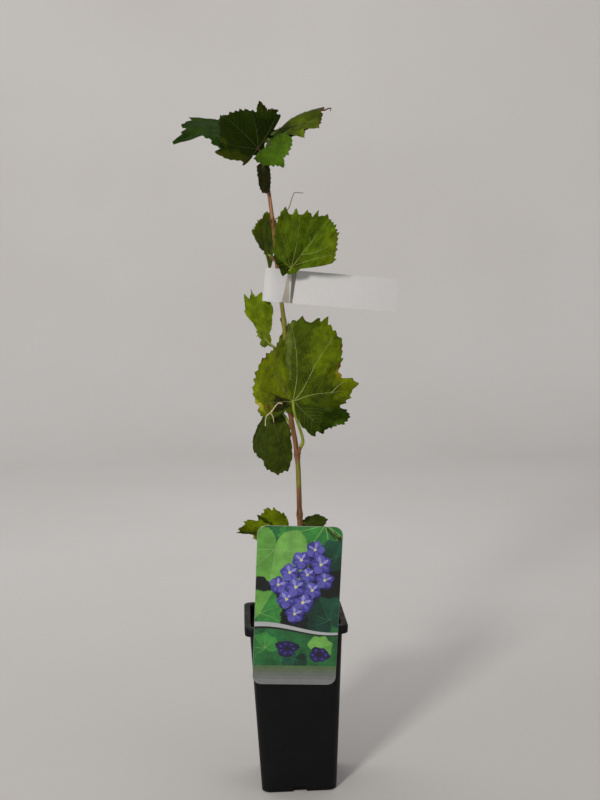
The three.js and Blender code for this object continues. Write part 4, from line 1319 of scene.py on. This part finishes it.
def build_card_plate(materials):
    """The card's board with slightly rounded edges, and the tongue that hooks over the pot's rim."""
    plate = Piece()
    rings = []
    for depth, inset in ((0.0, 0.18), (0.15, 0.0), (CARD_THICK - 0.15, 0.0), (CARD_THICK, 0.18)):
        shrink = 1 - inset * 2 / np.array([CARD_WIDTH, CARD_LENGTH])
        rings.append(card_place(at_level(CARD_MIDDLE + (card_outline() - CARD_MIDDLE) * shrink, depth)))
    loft(plate, rings, "board")
    over = POT_HEIGHT + CLEARANCE
    front = GAP_AT_RIM - (over - RIM_LOW) * math.tan(math.radians(CARD_LEAN)) - CARD_THICK / 2
    inner = -(pot_width(over - TONGUE_DROP) / 2 - POT_WALL - CLEARANCE)
    path = [(front, over + 0.4), (inner - 2.0, over + 0.4), (inner - 0.4, over - 0.1)]
    path += [(inner + 0.4, over - 2), (inner + 0.4, over - TONGUE_DROP)]
    half, rings = TONGUE_WIDTH / 2, []
    for (y, z), (dy, dz) in zip(path, np.gradient(np.array(path), axis=0)):
        ny, nz = np.array([-dz, dy]) / math.hypot(dy, dz) * CARD_THICK / 2
        near, far = (y + ny, z + nz), (y - ny, z - nz)
        rings.append(np.array([(-half, *near), (-half, *far), (half, *far), (half, *near)]))
    loft(plate, rings, "board")
    finish(plate.build("card_plate", materials, 40), "plant_card")


def build_card_picture(materials):
    """A generic picture: large leaves, violet flowers, a pale band, small leaves below it and a grey foot."""
    picture = Picture()
    rng = np.random.default_rng(8)
    edge = CARD_MIDDLE + (card_outline() - CARD_MIDDLE) * 0.997
    picture.ink(edge, 0, "ground")
    picture.leaf((22, 156), 46, 236, 1, "fresh", "fresher")
    picture.leaf((-22, 132), 42, 262, 4, "light", "lighter")
    for blot in (((30, 102), 22, 34, 1.2), ((-31, 86), 15, 17, 2.4), ((6, 66), 26, 13, 0.7)):
        picture.ink(printed_blot(*blot), 7, "shadow")
    picture.leaf((34, 126), 19, 160, 8, "teal", "teal_low")
    picture.leaf((-34, 70), 25, 62, 11, "fresh", "light")
    picture.leaf((30, 64), 25, 115, 11, "teal", "teal_low")
    for n, spot in enumerate(FLOWERS):
        picture.flower(spot, rng.uniform(8.2, 10.2), rng.uniform(0, 72), 15 + 5 * (n % 4))
    across = np.linspace(-CARD_WIDTH / 2, CARD_WIDTH / 2, 48)
    upper = 57 - 5.0 * np.sin(across / 21)
    wide = 2.2 + 2.4 * np.clip(-across / CARD_WIDTH + 0.5, 0, 1)
    picture.ink(printed_stripe(across, upper - 1, 0 * across + 10), BAND_LAYER, "ground")
    picture.ink(printed_stripe(across, upper - wide + 0.4, upper - wide * 1.5), BAND_LAYER + 1, "line")
    picture.ink(printed_stripe(across, upper, upper - wide), BAND_LAYER + 2, "band")
    picture.leaf((20, 36), 15, 20, BAND_LAYER + 1, "light", "lighter")
    picture.leaf((-28, 36), 17, 130, BAND_LAYER + 1, "fresh", "fresher")
    picture.leaf((0, 26), 15, 250, BAND_LAYER + 1, "teal", "teal_low")
    picture.ink(printed_blot((-8, 36), 10, 8, 0.4), BUNCH_LAYER, "plum")
    picture.ink(printed_blot((22, 30), 9, 7, 1.9), BUNCH_LAYER, "plum")
    for bunch in BUNCHES:
        picture.bunch(*bunch)
    for n in range(5):
        foot = np.column_stack([edge[:, 0], np.minimum(edge[:, 1], 19 - 3.4 * n)])
        picture.ink(foot, FOOT_LAYER + n, "foot_{}".format(n + 1))
    finish(picture.piece.build("card_picture", materials, 40), None)


# Paper tag

PAPER_HALF, PAPER_BOW, STRIP_LEVELS = 0.24, 0.25, 9
# The fold stands out of the strip, more so at its middle, and its left edge is drawn in towards the foot
FOLD_OUT, FOLD_SWELL, FOLD_PINCH = 2.0, 2.6, 3.8
FOLD_THICK, FOLD_FRONT, FOLD_LEVELS = 0.3, 0.45, 24
TAG_MIDDLE, TAG_RADIUS = (TAG_LEFT + TAG_RIGHT) / 2, (TAG_RIGHT - TAG_LEFT) / 2


def loop_wide(angle):
    """Half the width of the drop-shaped loop at an angle, as in the source, before it fits the stem."""
    return np.sin(angle) * (0.35 + 0.325 * (1 - np.cos(angle)))


def tag_place(points):
    """Tips the strip about its loop, as the source does."""
    slope = math.radians(TAG_SLOPE)
    x, y, z = points[..., 0] - TAG_MIDDLE, points[..., 1], points[..., 2]
    right = x * math.cos(slope) + z * math.sin(slope) + TAG_MIDDLE
    return np.stack([right, y, -x * math.sin(slope) + z * math.cos(slope) + TAG_LOW], -1)


def add_strip(piece, path):
    """An upright strip of paper along a level path, a little bowed over its height."""
    tangent = unit(np.gradient(path, axis=0))
    normal = np.column_stack([tangent[:, 1], -tangent[:, 0]])
    levels = np.linspace(0, TAG_HEIGHT, STRIP_LEVELS)
    rings = []
    for place, way in zip(path, normal):
        column = []
        for half, side in ((PAPER_HALF, levels), (-PAPER_HALF, levels[::-1])):
            out = half + PAPER_BOW * np.sin(side / TAG_HEIGHT * math.pi)
            column.append(np.column_stack([place + way * out[:, None], side]))
        rings.append(tag_place(np.vstack(column)))
    loft(piece, rings, "paper")


def add_fold(piece, middle_y, reach):
    """The fold where the strip closes: a creased and a shaded face in greys of painted shade and a lit one,
    between four edges.
    """
    levels = np.linspace(TAG_HEIGHT - 0.4, 0, FOLD_LEVELS)
    down = 1 - levels / TAG_HEIGHT
    high = FOLD_OUT + FOLD_SWELL * np.sin(np.clip(down * 1.15, 0, 1) * math.pi) ** 0.7
    pinch = -1.6 - FOLD_PINCH * down**1.5
    edges = [
        (pinch, -reach * loop_wide(np.arccos((pinch - TAG_MIDDLE) / TAG_RADIUS))),
        (-0.2 + 2.6 * down**1.6, -high),
        (1.9 + 0.8 * down, -0.92 * high),
        (7.6 - 2.6 * down, 0 * high),
    ]
    for kind, *sides in zip(("crease", "paper", "shadow"), edges, edges[1:]):
        corners = [(x, middle_y + out - FOLD_FRONT) for x, out in sides]
        corners += [(x, y + FOLD_THICK) for x, y in corners[::-1]]
        rings = np.stack([np.column_stack([x, y, levels]) for x, y in corners], 1)
        loft(piece, list(tag_place(rings)), kind)


def tag_materials():
    """White paper, and the greys of painted shade on the creased and the shaded faces of the fold."""
    paper = Shader("tag_paper", Roughness=0.62, Specular_IOR_Level=0.35)
    fibres = paper.noise(500, 4)
    paper.colour(paper.ramp(fibres, [(0.35, srgb(204, 205, 209)), (0.65, srgb(208, 209, 213))]))
    paper.rough(paper.spread(paper.noise(90, 2), 0.55, 0.68))
    paper.bump(fibres, 0.012, 0.4)
    paper.bump(paper.noise(11, 1), 1.0, 0.3)
    kinds = {"paper": paper.material}
    # Painted shade: the fold's creased and shaded faces get darker greys than the paper
    for kind, colour in (("crease", srgb(162, 158, 149)), ("shadow", srgb(144, 139, 129))):
        kinds[kind] = streaked_material("tag_" + kind, colour, shade(colour, 0.93), 0.7, relief=0.05)
    return kinds


def build_tag():
    """The blank paper strip: its loop round the stem, its flag to the right and the fold between them."""
    piece = Piece()
    held = stem_at(TAG_LOW + TAG_HEIGHT / 2)
    room = stem_radius(held[2]) + CLEARANCE + TAG_SLACK
    reach = room / loop_wide(math.acos((held[0] - TAG_MIDDLE) / TAG_RADIUS))
    angles = np.linspace(0.05, 2 * math.pi - 0.05, 72)
    loop_x = TAG_MIDDLE + (TAG_RADIUS - TAG_THICK / 2) * np.cos(angles)
    add_strip(piece, np.column_stack([loop_x, held[1] + reach * loop_wide(angles)]))
    flag_x = np.linspace(TAG_RIGHT - 1.2, TAG_RIGHT - TAG_THICK + TAG_FLAG, 60)
    share = np.clip((flag_x - TAG_RIGHT) / TAG_FLAG, 0, 1)
    add_strip(piece, np.column_stack([flag_x, held[1] - TAG_SWAY * np.sin(share * math.pi * 0.9)]))
    add_fold(piece, held[1], reach)
    finish(piece.build("tag_strip", tag_materials(), 50), "stem_tag")


# Tendrils

# Kind, radii at both ends and knots of each
TENDRILS = [
    ("tendril", (0.55, 0.32), [
        (-12.0, 2, 534), (-4, -1, 538), (3.4, -1, 545), (6, 0, 552), (9.0, 1, 559.0), (10, 1.2, 559.3),
        (17.5, 2, 558.8),
    ]),
    ("bud", (0.9, 0.4), [
        (34.5, -3.5, 634.2), (38, -4, 633.2), (41.4, -5, 634.4), (44.0, -6, 634.6), (43.4, -6, 632),
    ]),
    ("straw", (0.75, 0.5), [
        (-7, -3, 363.5), (-10.8, 5, 362.6), (-17.3, 9, 354.4), (-21.9, 12.5, 349.7), (-23, 12, 340.9),
    ]),
    ("straw", (0.45, 0.35), [
        (-20.5, 11.4, 351.4), (-18.9, 9.5, 352.8), (-17.2, 8.6, 352.6), (-15.5, 8.6, 349.6), (-15, 9, 344.4),
    ]),
]


def build_tendrils(materials):
    """The thin tendril above the upper leaf, the crown's curled tip and dried ones by the large leaf."""
    piece = Piece()
    for kind, radii, knots in TENDRILS:
        tube(piece, evenly(smooth_line(knots, 12), 60), np.linspace(*radii, 60), kind, 8)
    finish(piece.build("vine_tendrils", materials), None)


# Stage, lights and camera

FLOOR_FLAT, FLOOR_BEND, FLOOR_WALL, FLOOR_THICK, FLOOR_SIDES = 2300.0, 900.0, 2300.0, 30.0, 96
# Place, target, size, power and colour of each light, in metres and watts
LIGHTS = {
    "key": ((-1.02, -2.0, 1.14), (0, 0, 0.33), 0.32, 31, (1.0, 0.955, 0.87)),
    "fill": ((1.7, -1.3, 0.9), (0, 0, 0.3), 1.4, 3, (0.95, 0.97, 1.0)),
    "wall": ((-0.3, 0.7, 2.2), (0, 3.2, 0.6), 1.6, 25, (1.0, 0.99, 0.98)),
}
WORLD_STRENGTH = 0.36
CAMERA_PITCH, CAMERA_ROLL, CAMERA_AZIMUTH = 5.015, 1.258, -2.88
CAMERA_AWAY, CAMERA_RIGHT, CAMERA_HIGH = 1079.1, 10.04, 460.7
SENSOR, LENS = 36.0, 51.75


def build_stage():
    """A pale floor that sweeps up all round into a low wall, so that no edge shows behind the plant."""
    floor = Piece()
    profile = [(radius, 0.0) for radius in (0.5, 150.0, 600.0, 1400.0)]
    for a in np.linspace(0, math.pi / 2, 14):
        profile.append((FLOOR_FLAT + FLOOR_BEND * math.sin(a), FLOOR_BEND * (1 - math.cos(a))))
    edge = FLOOR_FLAT + FLOOR_BEND
    profile += [(edge, FLOOR_WALL), (edge + FLOOR_THICK, FLOOR_WALL), (edge + FLOOR_THICK, -FLOOR_THICK)]
    profile += [(0.5, -FLOOR_THICK)]
    turn = full_turn(FLOOR_SIDES)
    circle = np.column_stack([np.cos(turn), np.sin(turn)])
    loft(floor, [at_level(radius * circle, height) for radius, height in profile], "floor")
    shader = Shader("floor_pale", Roughness=0.9, Specular_IOR_Level=0.1)
    tones = shader.noise(1.2, 3)
    shader.colour(shader.ramp(tones, [(0.3, srgb(214, 211, 209)), (0.7, srgb(220, 218, 217))]))
    shader.bump(shader.noise(300, 2), 0.3, 0.1)
    made = floor.build("floor", {"floor": shader.material}, 50)
    made.location.z = -0.0002

    world = bpy.data.worlds.new("studio")
    bpy.context.scene.world = world
    world.use_nodes = True
    background = world.node_tree.nodes["Background"]
    background.inputs["Color"].default_value = srgb(228, 228, 228)
    background.inputs["Strength"].default_value = WORLD_STRENGTH
    bpy.context.scene.view_settings.view_transform = "Standard"


def build_light(name, place, target, size, power, colour):
    """A square light that shines from its place to a target."""
    light = bpy.data.lights.new(name, "AREA")
    light.size = size
    light.energy = power
    light.color = colour
    holder = bpy.data.objects.new(name, light)
    holder.location = place
    holder.rotation_euler = (Vector(target) - Vector(place)).to_track_quat("-Z", "Y").to_euler()
    bpy.context.scene.collection.objects.link(holder)


def build_camera():
    """The camera of the photograph: nearly level, a metre away, and a little left of the pot's front."""
    pitch, roll, azimuth = (math.radians(a) for a in (CAMERA_PITCH, CAMERA_ROLL, CAMERA_AZIMUTH))
    right = Vector((math.cos(azimuth), math.sin(azimuth), 0))
    forward = Vector((-math.sin(azimuth), math.cos(azimuth), 0))
    eye = (-forward * CAMERA_AWAY + right * CAMERA_RIGHT + Vector((0, 0, CAMERA_HIGH))) * MM
    view = forward * math.cos(pitch) - Vector((0, 0, math.sin(pitch)))
    up = forward * math.sin(pitch) + Vector((0, 0, math.cos(pitch)))
    rolled_right = right * math.cos(roll) - up * math.sin(roll)
    rolled_up = right * math.sin(roll) + up * math.cos(roll)
    data = bpy.data.cameras.new("camera")
    data.sensor_width = SENSOR
    data.lens = LENS
    holder = bpy.data.objects.new("camera", data)
    columns = Matrix((rolled_right, rolled_up, -view)).transposed()
    holder.matrix_world = Matrix.Translation(eye) @ columns.to_4x4()
    bpy.context.scene.collection.objects.link(holder)
    bpy.context.scene.camera = holder


plant = plant_materials()
build_camera()
for name, light in LIGHTS.items():
    build_light(name, *light)
build_stage()
build_pot()
build_soil()
build_stem(plant)
for number, mass in enumerate(MASSES):
    build_mass(mass, plant, 100 + 20 * number)
build_tendrils(plant)
card_inks = card_materials()
build_card_plate(card_inks)
build_card_picture(card_inks)
build_tag()
